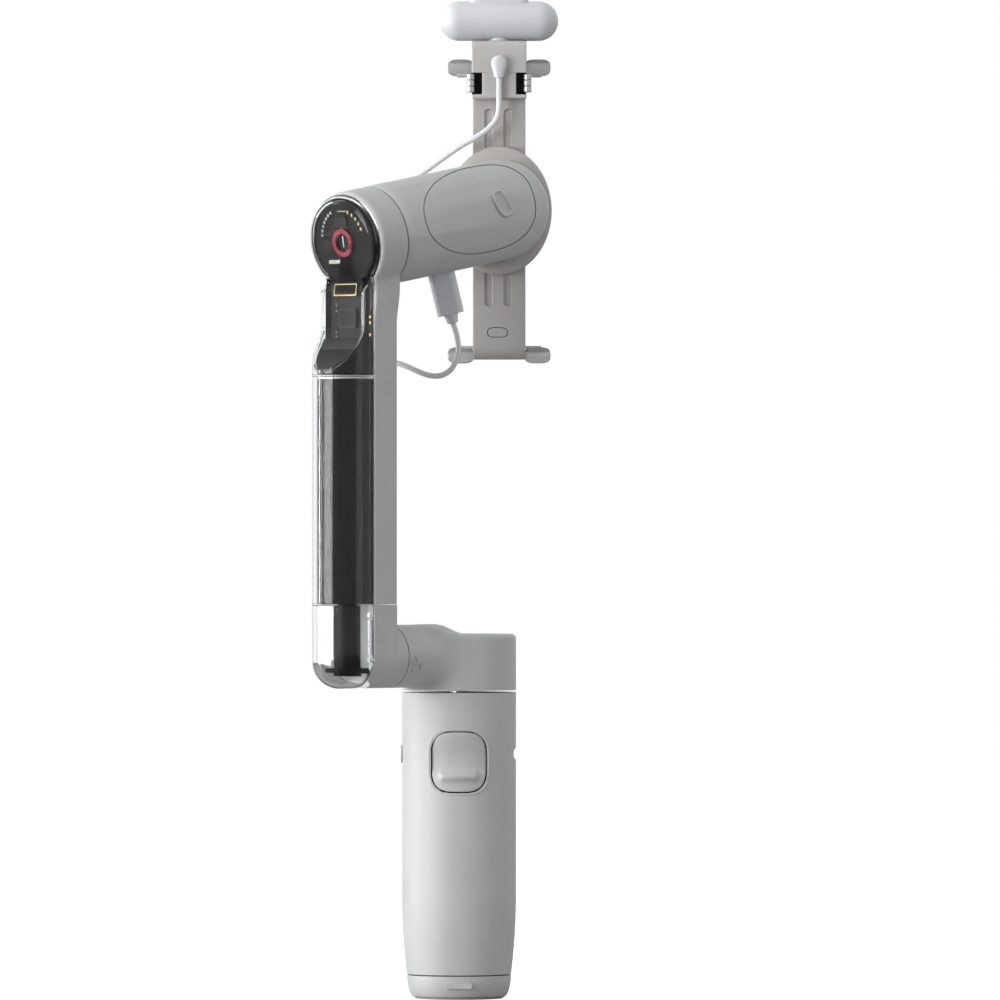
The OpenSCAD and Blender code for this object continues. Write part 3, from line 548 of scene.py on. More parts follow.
def tube_rows(route: Points, radius: Points | float, sides: int = 16) -> Points:
    """Rings round each point of a route, square to it, with the turn carried along so that it doesn't twist."""
    ahead = np.gradient(route, axis=0)
    ahead /= np.linalg.norm(ahead, axis=1, keepdims=True)
    u = np.cross(ahead, [0.31, 0.89, 0.13])
    u /= np.linalg.norm(u, axis=1, keepdims=True)
    v = np.cross(ahead, u)
    a = np.linspace(0, 2 * math.pi, sides, endpoint=False)
    r = np.broadcast_to(np.asarray(radius, float), (len(route),))[:, None, None]
    ring = u[:, None] * np.cos(a)[None, :, None] + v[:, None] * np.sin(a)[None, :, None]
    return route[:, None] + r * ring


def superellipse(half_x: float, half_z: float, power: float, count: int) -> Points:
    """A closed soft-cornered outline, |x/a|^n + |z/b|^n = 1, as (x, z) pairs."""
    a = np.linspace(0, 2 * math.pi, count, endpoint=False)
    c, s = np.cos(a), np.sin(a)
    x, z = (np.sign(v) * np.abs(v) ** (2 / power) for v in (c, s))
    return np.stack([half_x * x, half_z * z], -1)


def levels(outline: Points, steps: Sequence[tuple[float, float]], upright: bool = True) -> Points:
    """Rows of one outline at several levels.

    Args:
        outline: the outline, n by 2.
        steps: for each row, the share that the outline is scaled by and the level it lies at.
        upright: whether the outline is in x and z and the level in y, or else in x and y with the level in z.

    Returns:
        The rows.
    """
    rows = []
    for share, level in steps:
        across, up, at = outline[:, 0] * share, outline[:, 1] * share, np.full(len(outline), level)
        rows.append(np.stack([across, at, up] if upright else [across, up, at], -1))
    return np.stack(rows)


def sideways(path: Points) -> Points:
    """Unit directions square to a path of (a, b) points, a quarter turn to its left."""
    ahead = np.gradient(path, axis=0)
    ahead /= np.linalg.norm(ahead, axis=1, keepdims=True)
    return np.stack([-ahead[:, 1], ahead[:, 0]], -1)


def strip_rows(path: Points, width: float, thick: float) -> Points:
    """A flat strip along x: a soft-cornered section carried square to a path of (y, z) points."""
    section = superellipse(width / 2, thick / 2, 9.0, 64)
    y_z = path[:, None] + sideways(path)[:, None] * section[None, :, 1:]
    x = np.broadcast_to(section[None, :, 0], y_z.shape[:2])
    return np.stack([x, y_z[..., 0], y_z[..., 1]], -1)


def smooth_step(x: Points | float) -> Points | float:
    """0 below 0, 1 above 1, and a smooth rise between."""
    x = np.clip(x, 0, 1)
    return x * x * (3 - 2 * x)


# Studio


@dataclass
class Studio:
    """Camera, lamps, world and floor."""

    eye: tuple[float, float, float] = (0.01175, -3.3, 0.1429)
    lens: float = 414.0
    middle: tuple[float, float, float] = (0.0, 0.0, 0.14)

    def camera(self) -> None:
        """The camera, level and square to the row frame's Y axis."""
        data = bpy.data.cameras.new("camera")
        data.lens, data.sensor_width = self.lens, 36.0
        data.clip_start, data.clip_end = 0.1, 50.0
        camera = bpy.data.objects.new("camera", data)
        camera.location = self.eye
        camera.rotation_euler = (math.pi / 2, 0, 0)
        bpy.context.scene.collection.objects.link(camera)
        bpy.context.scene.camera = camera

    def lamp(
        self, name: str, place: Sequence[float], wide: float, tall: float, watts: float, mirrored: bool = True
    ) -> None:
        """A soft area lamp that points at the object's middle."""
        data = bpy.data.lights.new(name, "AREA")
        data.energy = watts
        data.shape, data.size, data.size_y = "RECTANGLE", wide, tall
        lamp = bpy.data.objects.new(name, data)
        lamp.location = place
        aim = Vector(self.middle) - Vector(place)
        lamp.rotation_euler = aim.to_track_quat("-Z", "Y").to_euler()
        lamp.visible_glossy = mirrored
        bpy.context.scene.collection.objects.link(lamp)

    def world(self, low: float, high: float) -> None:
        """A plain world: white to the eye, in reflections and through glass.

        Args:
            low: the strength of its light on the object from below.
            high: the strength from above.
        """
        world = bpy.data.worlds.new("world")
        world.use_nodes = True
        tree = world.node_tree
        tree.nodes.clear()
        out = tree.nodes.new("ShaderNodeOutputWorld")
        back = tree.nodes.new("ShaderNodeBackground")
        ray = tree.nodes.new("ShaderNodeLightPath")
        seen = ray.outputs["Is Camera Ray"]
        for other in ("Is Glossy Ray", "Is Transmission Ray"):
            most = tree.nodes.new("ShaderNodeMath")
            most.operation = "MAXIMUM"
            tree.links.new(seen, most.inputs[0])
            tree.links.new(ray.outputs[other], most.inputs[1])
            seen = most.outputs[0]
        level = tree.nodes.new("ShaderNodeMapRange")
        toward = tree.nodes.new("ShaderNodeTexCoord")
        parts = tree.nodes.new("ShaderNodeSeparateXYZ")
        ambient = tree.nodes.new("ShaderNodeMapRange")
        tree.links.new(toward.outputs["Generated"], parts.inputs["Vector"])
        tree.links.new(parts.outputs["Z"], ambient.inputs["Value"])
        for key, value in {"From Min": -0.5, "From Max": 0.5, "To Min": low, "To Max": high}.items():
            ambient.inputs[key].default_value = value
        tree.links.new(ambient.outputs["Result"], level.inputs["To Min"])
        tree.links.new(seen, level.inputs["Value"])
        tree.links.new(level.outputs["Result"], back.inputs["Strength"])
        back.inputs["Color"].default_value = (1, 1, 1, 1)
        tree.links.new(back.outputs[0], out.inputs["Surface"])
        bpy.context.scene.world = world

    def floor(self) -> None:
        """A plain pale floor that takes the object's shadow."""
        ring = lathe([(3.0, 0.0), (600.0, 0.0), (3000.0, 0.0)], stay, "z", 64)
        floor = skin("floor", ring - [0, 0, 0.05], ends=(True, False))
        s = Shader("floor")
        tone = s.blend(s.noise(3.0), (0.36, 0.36, 0.36), (0.38, 0.38, 0.38))
        matte = s.node("BsdfDiffuse", Color=tone)
        lift = s.node("Emission", Color=(1, 1, 1, 1), Strength=0.88)
        both = s.node("AddShader")
        s.tree.links.new(matte.outputs[0], both.inputs[0])
        s.tree.links.new(lift.outputs[0], both.inputs[1])
        ray = s.node("LightPath")
        mix = s.node("MixShader")
        s.tree.links.new(ray.outputs["Is Camera Ray"], mix.inputs[0])
        s.tree.links.new(matte.outputs[0], mix.inputs[1])
        s.tree.links.new(both.outputs[0], mix.inputs[2])
        floor.data.materials.append(s.finish(mix))

    def build(self) -> None:
        """Makes it all."""
        bpy.context.scene.view_settings.view_transform = "Standard"
        self.camera()
        self.lamp("key", (-1.45, -1.15, 0.9), 0.9, 1.2, 15.0, mirrored=False)
        self.lamp("softbox", (-1.39, -0.78, 0.22), 0.95, 0.36, 15.0)
        self.lamp("strip", (-1.55, 0.20, 0.22), 0.10, 0.6, 13.0)
        self.lamp("top", (-0.4, -0.3, 1.9), 1.2, 1.2, 8.0, mirrored=False)
        self.lamp("fill", (1.9, -0.9, 0.7), 1.2, 1.6, 11.0, mirrored=False)
        self.world(0.15, 0.42)
        self.floor()


# The lead


@dataclass
class Lead:
    """The white lead from the clamp's bracket to the plug under the roll arm."""

    diameter: float = 1.6
    mouth: tuple[float, float, float] = (11.5, 16.4, 265.0)
    top: tuple = ((0, 0, 0), (0, 0, -5), (-0.1, -0.1, -9.6))
    low: tuple = (
        (-0.9, 5.1, 26.3), (-3.1, 5.1, 23.6), (-6.8, 5.3, 21), (-11.1, 5.9, 18.6), (-15.5, 6.7, 15.6),
        (-20.5, 7.3, 12), (-26.5, 6.9, 7.6), (-32.5, 5.3, 2.6), (-38.5, 2.5, -4.4), (-43, -1.1, -12.4),
        (-45.5, -5.1, -21.4), (-45.9, -8.7, -30.4), (-43.1, -12.1, -38.4), (-36.5, -15.1, -42.8),
        (-28.5, -17.5, -44.5), (-21.5, -19.1, -47.4), (-17.5, -19.5, -48), (-14.5, -19.5, -46.8),
        (-12.7, -19.5, -44.4), (-11.7, -19.3, -41), (-12, -19.1, -37), (-13.2, -19, -32.9),
    )
    steps: int = 6

    def route(self) -> Points:
        """A smooth curve through the points: Catmull and Rom's cubic between each two."""
        p = np.concatenate([np.array(self.top) + self.mouth, np.array(self.low) + [ROLL_X, ROLL_Y, ROLL_Z]])
        q = np.concatenate([p[:1], p, p[-1:]])
        t = (np.arange(self.steps) / self.steps)[None, :, None]
        a, b, c, d = (q[k:len(p) - 1 + k, None] for k in range(4))
        curve = 0.5 * (2 * b + (c - a) * t + (2 * a - 5 * b + 4 * c - d) * t ** 2 + (3 * b - a - 3 * c + d) * t ** 3)
        return np.concatenate([curve.reshape(-1, 3), p[-1:]])

    def build(self) -> None:
        """The lead as a round tube in place of the CAD lead, and its end that goes back into the object."""
        route = self.route()
        lead = skin("lead", tube_rows(route, self.diameter / 2, 14))
        WARDROBE.dress(lead, "lead_cover")
        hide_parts("accessory_lead")
        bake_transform(lead)
        # The lead's end inside the bulb, which shows only when the jaw slides up
        inside = route[0] + np.linspace(-0.2, 4.6, 6)[:, None] * [0, 0, 1]
        tail = skin("lead_tail", tube_rows(inside, self.diameter / 2 - 0.02, 14))
        settle(tail, "lead_cover", Rides.HEAD, "lead_cover")


# Roll arm


@dataclass
class RollArm:
    """The soft elbow between the tilt and roll axes, and the oval cover let into its face."""

    seam_r: float = 14.3
    end_r: float = 14.2
    front_r: float = 9.2
    front_y: float = -14.0
    back_y: float = 4.7
    soft: float = 3.0
    core: float = 22.0
    rotor_r: float = 10.6
    cover_half: tuple[float, float] = (15.9, 12.4)
    cover_at: tuple[float, float] = (-5.4, 0.9)
    pill_half: tuple[float, float] = (1.9, 4.1)
    pill_at: tuple[float, float] = (1.4, 1.1)
    pill_lean: float = math.radians(15)
    pill_steps: tuple[tuple[float, float], ...] = (
        (1.08, -0.5), (1.06, 0.4), (1.0, 0.8), (0.9, 0.92), (0.8, 0.88), (0.64, 0.5), (0.5, 0.15), (0.2, 0.05),
    )
    rows: int = 200
    columns: int = 360

    def hull_points(self) -> Points:
        """Circles that the elbow's skin stretches over, each drawn in by the soft radius."""
        a = np.linspace(0, 2 * math.pi, 240, endpoint=False)
        c, s = np.cos(a), np.sin(a)
        thin, full = self.front_r - self.soft, self.end_r - self.soft
        near = self.seam_r - self.soft
        seam = [tilt_place(np.stack([np.full_like(a, x), near * c, near * s], -1)) for x in (-58.0, -30.2)]
        discs = ((self.front_y + self.soft, thin), (self.front_y + 4, full), (12.0, full))
        ends = [roll_place(np.stack([r * c, np.full_like(a, y), r * s], -1)) for y, r in discs]
        return np.concatenate(seam + ends)

    def planes(self) -> tuple[Points, Points]:
        """Planes that bound the elbow: a spiral of directions with the hull's reach in each, and its two flat ends."""
        count = 9000
        k = np.arange(count) + 0.5
        polar, turn = np.arccos(1 - 2 * k / count), math.pi * (1 + 5 ** 0.5) * k
        n = np.stack([np.cos(turn) * np.sin(polar), np.sin(turn) * np.sin(polar), np.cos(polar)], -1)
        reach = (n @ self.hull_points().T).max(1) + self.soft
        out = tilt_place(np.array([[-1.0, 0, 0]])) - tilt_place(np.zeros((1, 3)))
        at = tilt_place(np.array([[-SEAM_RUN, 0, 0]]))
        back = np.array([[0.0, 1.0, 0.0]])
        return np.concatenate([n, out, back]), np.concatenate([reach, (out * at).sum(1), [ROLL_Y + self.back_y]])

    def body(self) -> bpy.types.Object:
        """The elbow, as the distance from a point on the tilt axis to the nearest bounding plane in each direction."""
        normals, reach = self.planes()
        middle = tilt_place(np.array([-self.core, 0, 0]))
        edge = math.atan2(self.seam_r, SEAM_RUN - self.core)
        share = np.linspace(0, 1, self.rows)[1:] ** 0.96
        polar = np.concatenate([np.linspace(0, edge, 12), edge + (math.pi - edge) * share])
        turn = np.linspace(0, 2 * math.pi, self.columns, endpoint=False)
        p, q = np.meshgrid(polar, turn, indexing="ij")
        local = np.stack([-np.cos(p), np.sin(p) * np.cos(q), np.sin(p) * np.sin(q)], -1)
        rays = (tilt_place(local) - tilt_place(np.zeros(3))).reshape(-1, 3)
        room = reach - normals @ middle
        far = np.empty(len(rays))
        for part in np.array_split(np.arange(len(rays)), 24):
            toward = rays[part] @ normals.T
            far[part] = np.where(toward > 1e-6, room / np.maximum(toward, 1e-6), 1e9).min(1)
        far = far.reshape(p.shape)
        far[12:] = self.soften(far[11:])[1:]
        return skin("roll_arm_skin", middle + far[..., None] * rays.reshape(*p.shape, 3), ends=(False, False))

    def soften(self, far: Points) -> Points:
        """A small blur of the distances that leaves the first row as it is."""
        kernel = np.array([1, 4, 6, 4, 1]) / 16
        for _ in range(3):
            far = sum(w * np.roll(far, k - 2, axis=1) for k, w in enumerate(kernel))
            held = np.pad(far, ((2, 2), (0, 0)), mode="reflect", reflect_type="odd")
            far = sum(w * held[k:k + len(far)] for k, w in enumerate(kernel))
        return far

    def front(self, x: Points, z: Points) -> Points:
        """Where the elbow's front lies at (x, z) of the roll frame: the furthest back that a front plane allows."""
        normals, reach = self.planes()
        ahead = normals[:, 1] < -0.2
        n, h = normals[ahead], reach[ahead]
        at = roll_place(np.stack([x, 0 * x, z], -1))
        room = h[None] - at @ n.T
        return (room / n[:, 1][None]).max(1)

    def prism(self, grow: float, sink: float) -> bpy.types.Object:
        """The oval cover's outline, pushed through the front face down to a floor that sinks by sink below it."""
        outline = superellipse(self.cover_half[0] + grow, self.cover_half[1] + grow, 2.35, 160)
        x, z = (outline + self.cover_at).T
        depths = (np.full_like(x, -60.0), np.full_like(x, -45.0), self.front(x, z) + sink)
        return skin("oval", roll_place(np.stack([np.stack([x, y, z], -1) for y in depths])))

    def pill(self) -> bpy.types.Object:
        """The raised pill on the cover: a rounded bar whose top is dished, leaning a little to the left."""
        outline = superellipse(*self.pill_half, 3.0, 96)
        c, s = math.cos(self.pill_lean), math.sin(self.pill_lean)
        rows = []
        for share, up in self.pill_steps:
            x, z = outline[:, 0] * share, outline[:, 1] * (1 - (1 - share) * 0.45)
            x, z = x * c - z * s + self.pill_at[0], x * s + z * c + self.pill_at[1]
            rows.append(np.stack([x, self.front(x, z) - up, z], -1))
        return skin("cover_pill", roll_place(np.stack(rows)))

    def build(self) -> None:
        """Body with its bays, the cover let into it with a fine gap, and the raised pill on the cover."""
        body = self.body()
        for cutter in (
            bore(BAY_R, -9.0, 8.0, roll_place, "y"),
            bore(SHAFT_HOLE_R, -60.0, -40.0, tilt_place, "x", 32),
            bore(self.rotor_r, -45.8, -33.8, tilt_place, "x"),
        ):
            carve(body, cutter)
        cover = body.copy()
        cover.data = body.data.copy()
        cover.name = "roll_arm_cover"
        bpy.context.scene.collection.objects.link(cover)
        carve(cover, self.prism(-0.09, 1.4), "INTERSECT")
        carve(body, self.prism(0.09, 1.5))
        shade(body, 40)
        shade(cover, 40)
        settle(body, "stone_plastic", Rides.ROLL_ARM, "stone_plastic", "roll_arm_shell")
        settle(cover, "stone_plastic", Rides.ROLL_ARM, "stone_plastic", "roll_cover")
        settle(self.pill(), "stone_plastic", Rides.ROLL_ARM, "stone_plastic")


# Arm


def keyhole(half: float, fillet: float, ring: float, low: Points, turns: tuple[int, int]) -> tuple[Points, Points]:
    """Half a keyhole outline and its outward normals, in (across, up) about the ring's centre.

    A straight side at half stands on low; a concave arc of the fillet radius, which touches both, leads to the ring's
    circle; and the circle goes on to its top.

    Args:
        half: half the width of the straight part.
        fillet: radius of the concave arc.
        ring: radius of the ring.
        low: heights of the rows on the straight side, up to where the fillet starts.
        turns: how many rows the fillet and the ring have.

    Returns:
        The points and the normals, each n by 2.
    """
    cx = half + fillet
    cy = -math.sqrt((ring + fillet) ** 2 - cx ** 2)
    touch = math.atan2(cy, cx)
    a = np.linspace(math.pi, math.pi + touch, turns[0], endpoint=False)
    b = np.linspace(touch, math.pi / 2, turns[1])
    arc, circle = (np.stack([np.cos(q), np.sin(q)], -1) for q in (a, b))
    side = np.stack([np.full_like(low, half), low], -1)
    points = np.concatenate([side, np.array([cx, cy]) + fillet * arc, ring * circle])
    normals = np.concatenate([np.broadcast_to([1.0, 0.0], side.shape), -arc, circle])
    return points, normals


def fillet_foot(half: float, fillet: float, ring: float) -> float:
    """Height at which a keyhole's fillet leaves its straight side."""
    return -math.sqrt((ring + fillet) ** 2 - (half + fillet) ** 2)


def mirror_rows(half: Points, closed: bool) -> Points:
    """Rows of a half section (in the arm or tilt frame, y across) joined to their mirror image.

    Args:
        half: the grid, whose last column lies on the middle, and its first too where it is closed.
        closed: whether the first column lies on the middle as well.

    Returns:
        The whole rows.
    """
    other = half[:, ::-1] * [1, -1, 1]
    return np.concatenate([half, other[:, 1:-1] if closed else other[:, 1:]], axis=1)


@dataclass
class ArmSpine:
    """The arm's spine and the tilt motor's housing, one moulding, with its hollows."""

    fillet: float = 2.5
    ring: float = 14.3
    rod_r: float = 6.4
    housing_rim: float = 1.5
    fine_rim: float = 0.25
    middle_z: float = RING_Z
    left_x: float = -60.65
    right_x: float = -SEAM_RUN - 0.3
    blend: tuple[float, float] = (-24.0, -10.0)

    def half_rows(self) -> Points:
        """Half of each row, from the left face's middle round the edge to the right face's middle.

        A column has a share of the way from the left to the right face, a run inwards from the face, an inset from
        the outline and a share of the half width; the two rims are quarter circles, one minus sine by one minus
        cosine. Rows on the straight part lie level in the arm frame, rows on the ring in the tilt frame, and a smooth
        step blends the two.
        """
        foot = fillet_foot(HALF_W, self.fillet, self.ring)
        start = ARM_SEAM_Z + 0.15 - self.middle_z
        low = np.concatenate([np.linspace(start, -26, 24, endpoint=False), np.linspace(-26, foot, 14, endpoint=False)])
        outline, normal = keyhole(HALF_W, self.fillet, self.ring, low, (16, 72))
        beta = np.linspace(0, math.pi / 2, 8)
        inset, run = 1 - np.sin(beta), 1 - np.cos(beta)
        face = np.array([0.0, 0.3, 0.6, 0.85])
        one, nought = np.ones(4), np.zeros(4)
        side = np.array([0.25, 0.5, 0.75])
        share = np.concatenate([nought, np.zeros(8), side, np.ones(8), one])
        inset = np.concatenate([one, inset, side * 0, inset[::-1], one])
        run = np.concatenate([nought, run, side * 0, -run[::-1], nought])
        width = np.concatenate([face, np.ones(8), side ** 0, np.ones(8), face[::-1]])
        up = outline[:, 1:]
        mix = smooth_step((up - self.blend[0]) / (self.blend[1] - self.blend[0]))
        rim = np.where(share[None] < 0.5, self.fine_rim + (self.housing_rim - self.fine_rim) * mix, self.fine_rim)
        t = width * (outline[:, :1] - rim * inset * normal[:, :1])
        h = up - rim * inset * normal[:, 1:]
        s = SPINE_S + (SPINE_BACK - SPINE_S) * share + rim * run
        x = self.left_x + (self.right_x - self.left_x) * share + rim * run
        level = np.stack([s, t, self.middle_z + h], -1)
        tilted = tilt_to_arm(np.stack([x, t, h], -1))
        return level + (tilted - level) * mix[..., None]

    def build(self) -> None:
        """Skin, motor bay and the channel for the rod."""
        body = skin("arm_spine_skin", arm_place(mirror_rows(self.half_rows(), True)), ends=(True, False))
        for cutter in (
            bore(BAY_R, -80.0, -52.5, tilt_place, "x"),
            bore(SHAFT_HOLE_R, -60.0, -40.0, tilt_place, "x", 32),
            bore(self.rod_r, 100.0, SLEEVE_Z + 0.2, lambda p: arm_place(p + [SPINE_S - 2.3, 0, 0]), "z", 64),
        ):
            carve(body, cutter)
        shade(body, 38)
        settle(body, "stone_plastic", Rides.UPPER_ARM, "stone_plastic", "arm_spine")


@dataclass
class ClearParts:
    """The arm's clear parts: the cap at the hinge, the tube, and the window with its scoop and dome."""

    wall: float = 1.15
    dome_r: float = 13.7
    dome_x: float = -63.7
    dome_base: float = -60.75
    dome_edge: float = 2.4
    neck: float = 1.5
    flat_s: float = -46.0
    scoop: tuple[float, float] = (191.6, 11.7)
    cap_round: float = 7.0
    middle_z: float = RING_Z

    def bow_half(self, z: Points, front: Points, half: Points, depth: Points, inset: float = 0.0) -> Points:
        """Half rows of the bow: a straight side, an arc of an ellipse cut off at front, and the flat to the middle.

        Args:
            z: height of each row.
            front: how far out in s the row reaches.
            half: half width of each row.
            depth: reach of the ellipse in front of BOW_S.
            inset: how far the whole section is drawn in.

        Returns:
            The grid in the arm frame, from the spine's side to the middle.
        """
        z, front, half, depth = (np.asarray(v, float)[:, None] * np.ones((1, 1)) for v in (z, front, half, depth))
        half, depth, front = half - inset, depth - inset, front + inset
        most = np.arcsin(np.clip((BOW_S - front) / np.maximum(depth, 1e-6), 0, 1))
        psi = most * np.linspace(0, 1, 20)[None]
        side = np.linspace(SPINE_S - 0.15, BOW_S, 5)[None, :-1]
        arc_s, arc_t = BOW_S - depth * np.sin(psi), half * np.cos(psi)
        flat = np.linspace(1, 0, 9)[None, 1:]
        s = np.concatenate([side + 0 * z, arc_s, arc_s[:, -1:] + 0 * flat], 1)
        t = np.concatenate([half + 0 * side, arc_t, arc_t[:, -1:] * flat], 1)
        return np.stack([s, t, z + 0 * s], -1)

    def scoop_front(self, z: Points) -> Points:
        """Reach of the window: flat above, and below the scoop's top out to the tube's by the depth's power of 1.6."""
        u = np.clip((self.scoop[0] - z) / self.scoop[1], 0, 1)
        return self.flat_s + (BOW_S - HALF_W - self.flat_s) * u ** 1.6

    def window_half(self) -> Points:
        """Half rows of the window: bow rows to the neck, then the dome's keyhole in the tilt frame, blended there."""
        foot = fillet_foot(HALF_W, self.neck, self.dome_r)
        start = SLEEVE_Z + 1.05 - self.middle_z
        low = np.concatenate([np.linspace(start, -24, 44, endpoint=False), np.linspace(-24, foot, 24, endpoint=False)])
        outline, normal = keyhole(HALF_W, self.neck, self.dome_r, low, (8, 72))
        z = self.middle_z + outline[:, 1]
        full = np.full_like(z, HALF_W)
        level = self.bow_half(z, self.scoop_front(z), full, full)
        beta = np.linspace(0, math.pi / 2, 20)
        edge = self.dome_edge
        side = np.linspace(self.dome_base, self.dome_x + edge, 5)[:-1]
        x = np.concatenate([side, self.dome_x + edge - edge * np.sin(beta), np.full(8, self.dome_x)])
        inset = np.concatenate([np.zeros(4), edge * (1 - np.cos(beta)), np.full(8, edge)])
        width = np.concatenate([np.ones(24), np.linspace(1, 0, 9)[1:]])
        t = width * np.maximum(outline[:, :1] - inset * normal[:, :1], 0)
        h = outline[:, 1:] - inset * normal[:, 1:]
        dome = tilt_to_arm(np.stack([x + 0 * t, t, h], -1))
        mix = smooth_step((outline[:, 1] + 15.5) / 5.0)[:, None, None]
        return level + (dome - level) * mix

    def cap_half(self) -> Points:
        """Half rows of the cap, whose half width and reach both go round: the root of r squared less height squared."""
        turn = np.linspace(0, math.pi / 2, 26)[1:]
        side = [ARM_SEAM_Z, ARM_SEAM_Z - 0.3, *np.linspace(ARM_SEAM_Z - 2, HINGE_Z, 6)]
        z = np.concatenate([side, HINGE_Z - HALF_W * np.sin(turn)])
        drop = np.clip(HINGE_Z - z, 0, HALF_W)
        half = np.sqrt(np.maximum(HALF_W ** 2 - drop ** 2, 0))
        lower = np.clip(HINGE_Z - HALF_W + self.cap_round - z, 0, self.cap_round)
        depth = HALF_W - self.cap_round + np.sqrt(np.maximum(self.cap_round ** 2 - lower ** 2, 0))
        return self.bow_half(z, BOW_S - depth, half, depth)

    def liner_half(self) -> Points:
        """Half rows of the dark liner inside the window's foot, drawn in from the window."""
        z = np.linspace(SLEEVE_Z + 1.3, 188.6, 24)
        full = np.full_like(z, HALF_W)
        return self.bow_half(z, self.scoop_front(z), full, full, 1.45)

    def tray(self) -> bpy.types.Object:
        """The dark tray behind the window's board: a trough section carried up, open to the front."""
        section = np.array([(-45.0, 7.55), (-43.0, 7.6), (-42.2, 7.5), (-42.0, 6.8), (-42.0, 0.0)])
        section = np.concatenate([section, section[-2::-1] * [1, -1]])
        rows = levels(section, [(1.0, z) for z in np.linspace(187.0, 206.0, 12)], upright=False)
        return skin("window_tray", arm_place(rows), wrap=False, ends=(False, False))

    def dome_lining(self) -> bpy.types.Object:
        """The dark ring round the board inside the dome."""
        r = self.dome_r - self.wall - 0.12
        profile = [
            (11.95, -61.0), (11.95, -61.3), (r - 0.35, -61.3), (r - 0.2, -62.3),
            (r, -62.3), (r, -60.8), (r - 0.4, -60.8),
        ]
        return skin("dome_lining", lathe(profile, tilt_place, "x", 128), ends=(False, False))

    def build(self) -> None:
        """Tube, window and cap with their walls, and the dark linings."""
        z = np.array([ARM_SEAM_Z + 0.2, ARM_SEAM_Z + 0.5, 130.0, 150.0, 170.0, SLEEVE_Z + 0.5, SLEEVE_Z + 0.8])
        full, front = np.full_like(z, HALF_W), np.full_like(z, BOW_S - HALF_W)
        for name, half, node, body in (
            ("clear_tube_shell", self.bow_half(z, front, full, full), "clear_tube", Rides.UPPER_ARM),
            ("clear_window_shell", self.window_half(), "clear_window", Rides.UPPER_ARM),
            ("clear_cap_shell", self.cap_half(), "lower_clear_cap", Rides.LOWER_ARM),
        ):
            shell = skin(name, arm_place(mirror_rows(half, False)), wrap=False, ends=(False, False))
            self.face_out(shell)
            thicken(shell, self.wall)
            settle(shell, "clear_plastic", body, "clear_plastic", node)
        liner = skin("window_liner", arm_place(mirror_rows(self.liner_half(), False)), wrap=False, ends=(False, False))
        self.face_out(liner)
        thicken(liner, 0.4)
        settle(liner, "black_plastic", Rides.UPPER_ARM, "black_plastic")
        tray = self.tray()
        self.face_out(tray)
        tray.data.flip_normals()
        thicken(tray, -0.3)
        settle(tray, "black_plastic", Rides.UPPER_ARM, "black_plastic")
        settle(self.dome_lining(), "black_plastic", Rides.UPPER_ARM, "black_plastic")

    def face_out(self, obj: bpy.types.Object) -> None:
        """Turns an open shell's faces away from the arm's inside."""
        mesh = obj.data
        n = len(mesh.polygons)
        centre, normal, area = np.empty(n * 3), np.empty(n * 3), np.empty(n)
        mesh.polygons.foreach_get("center", centre)
        mesh.polygons.foreach_get("normal", normal)
        mesh.polygons.foreach_get("area", area)
        inside = arm_place(np.array([SPINE_S, 0.0, 0.0]))[:2] * MM
        out = (normal.reshape(-1, 3)[:, :2] * (centre.reshape(-1, 3)[:, :2] - inside)).sum(1)
        if (out * area).sum() < 0:
            mesh.flip_normals()


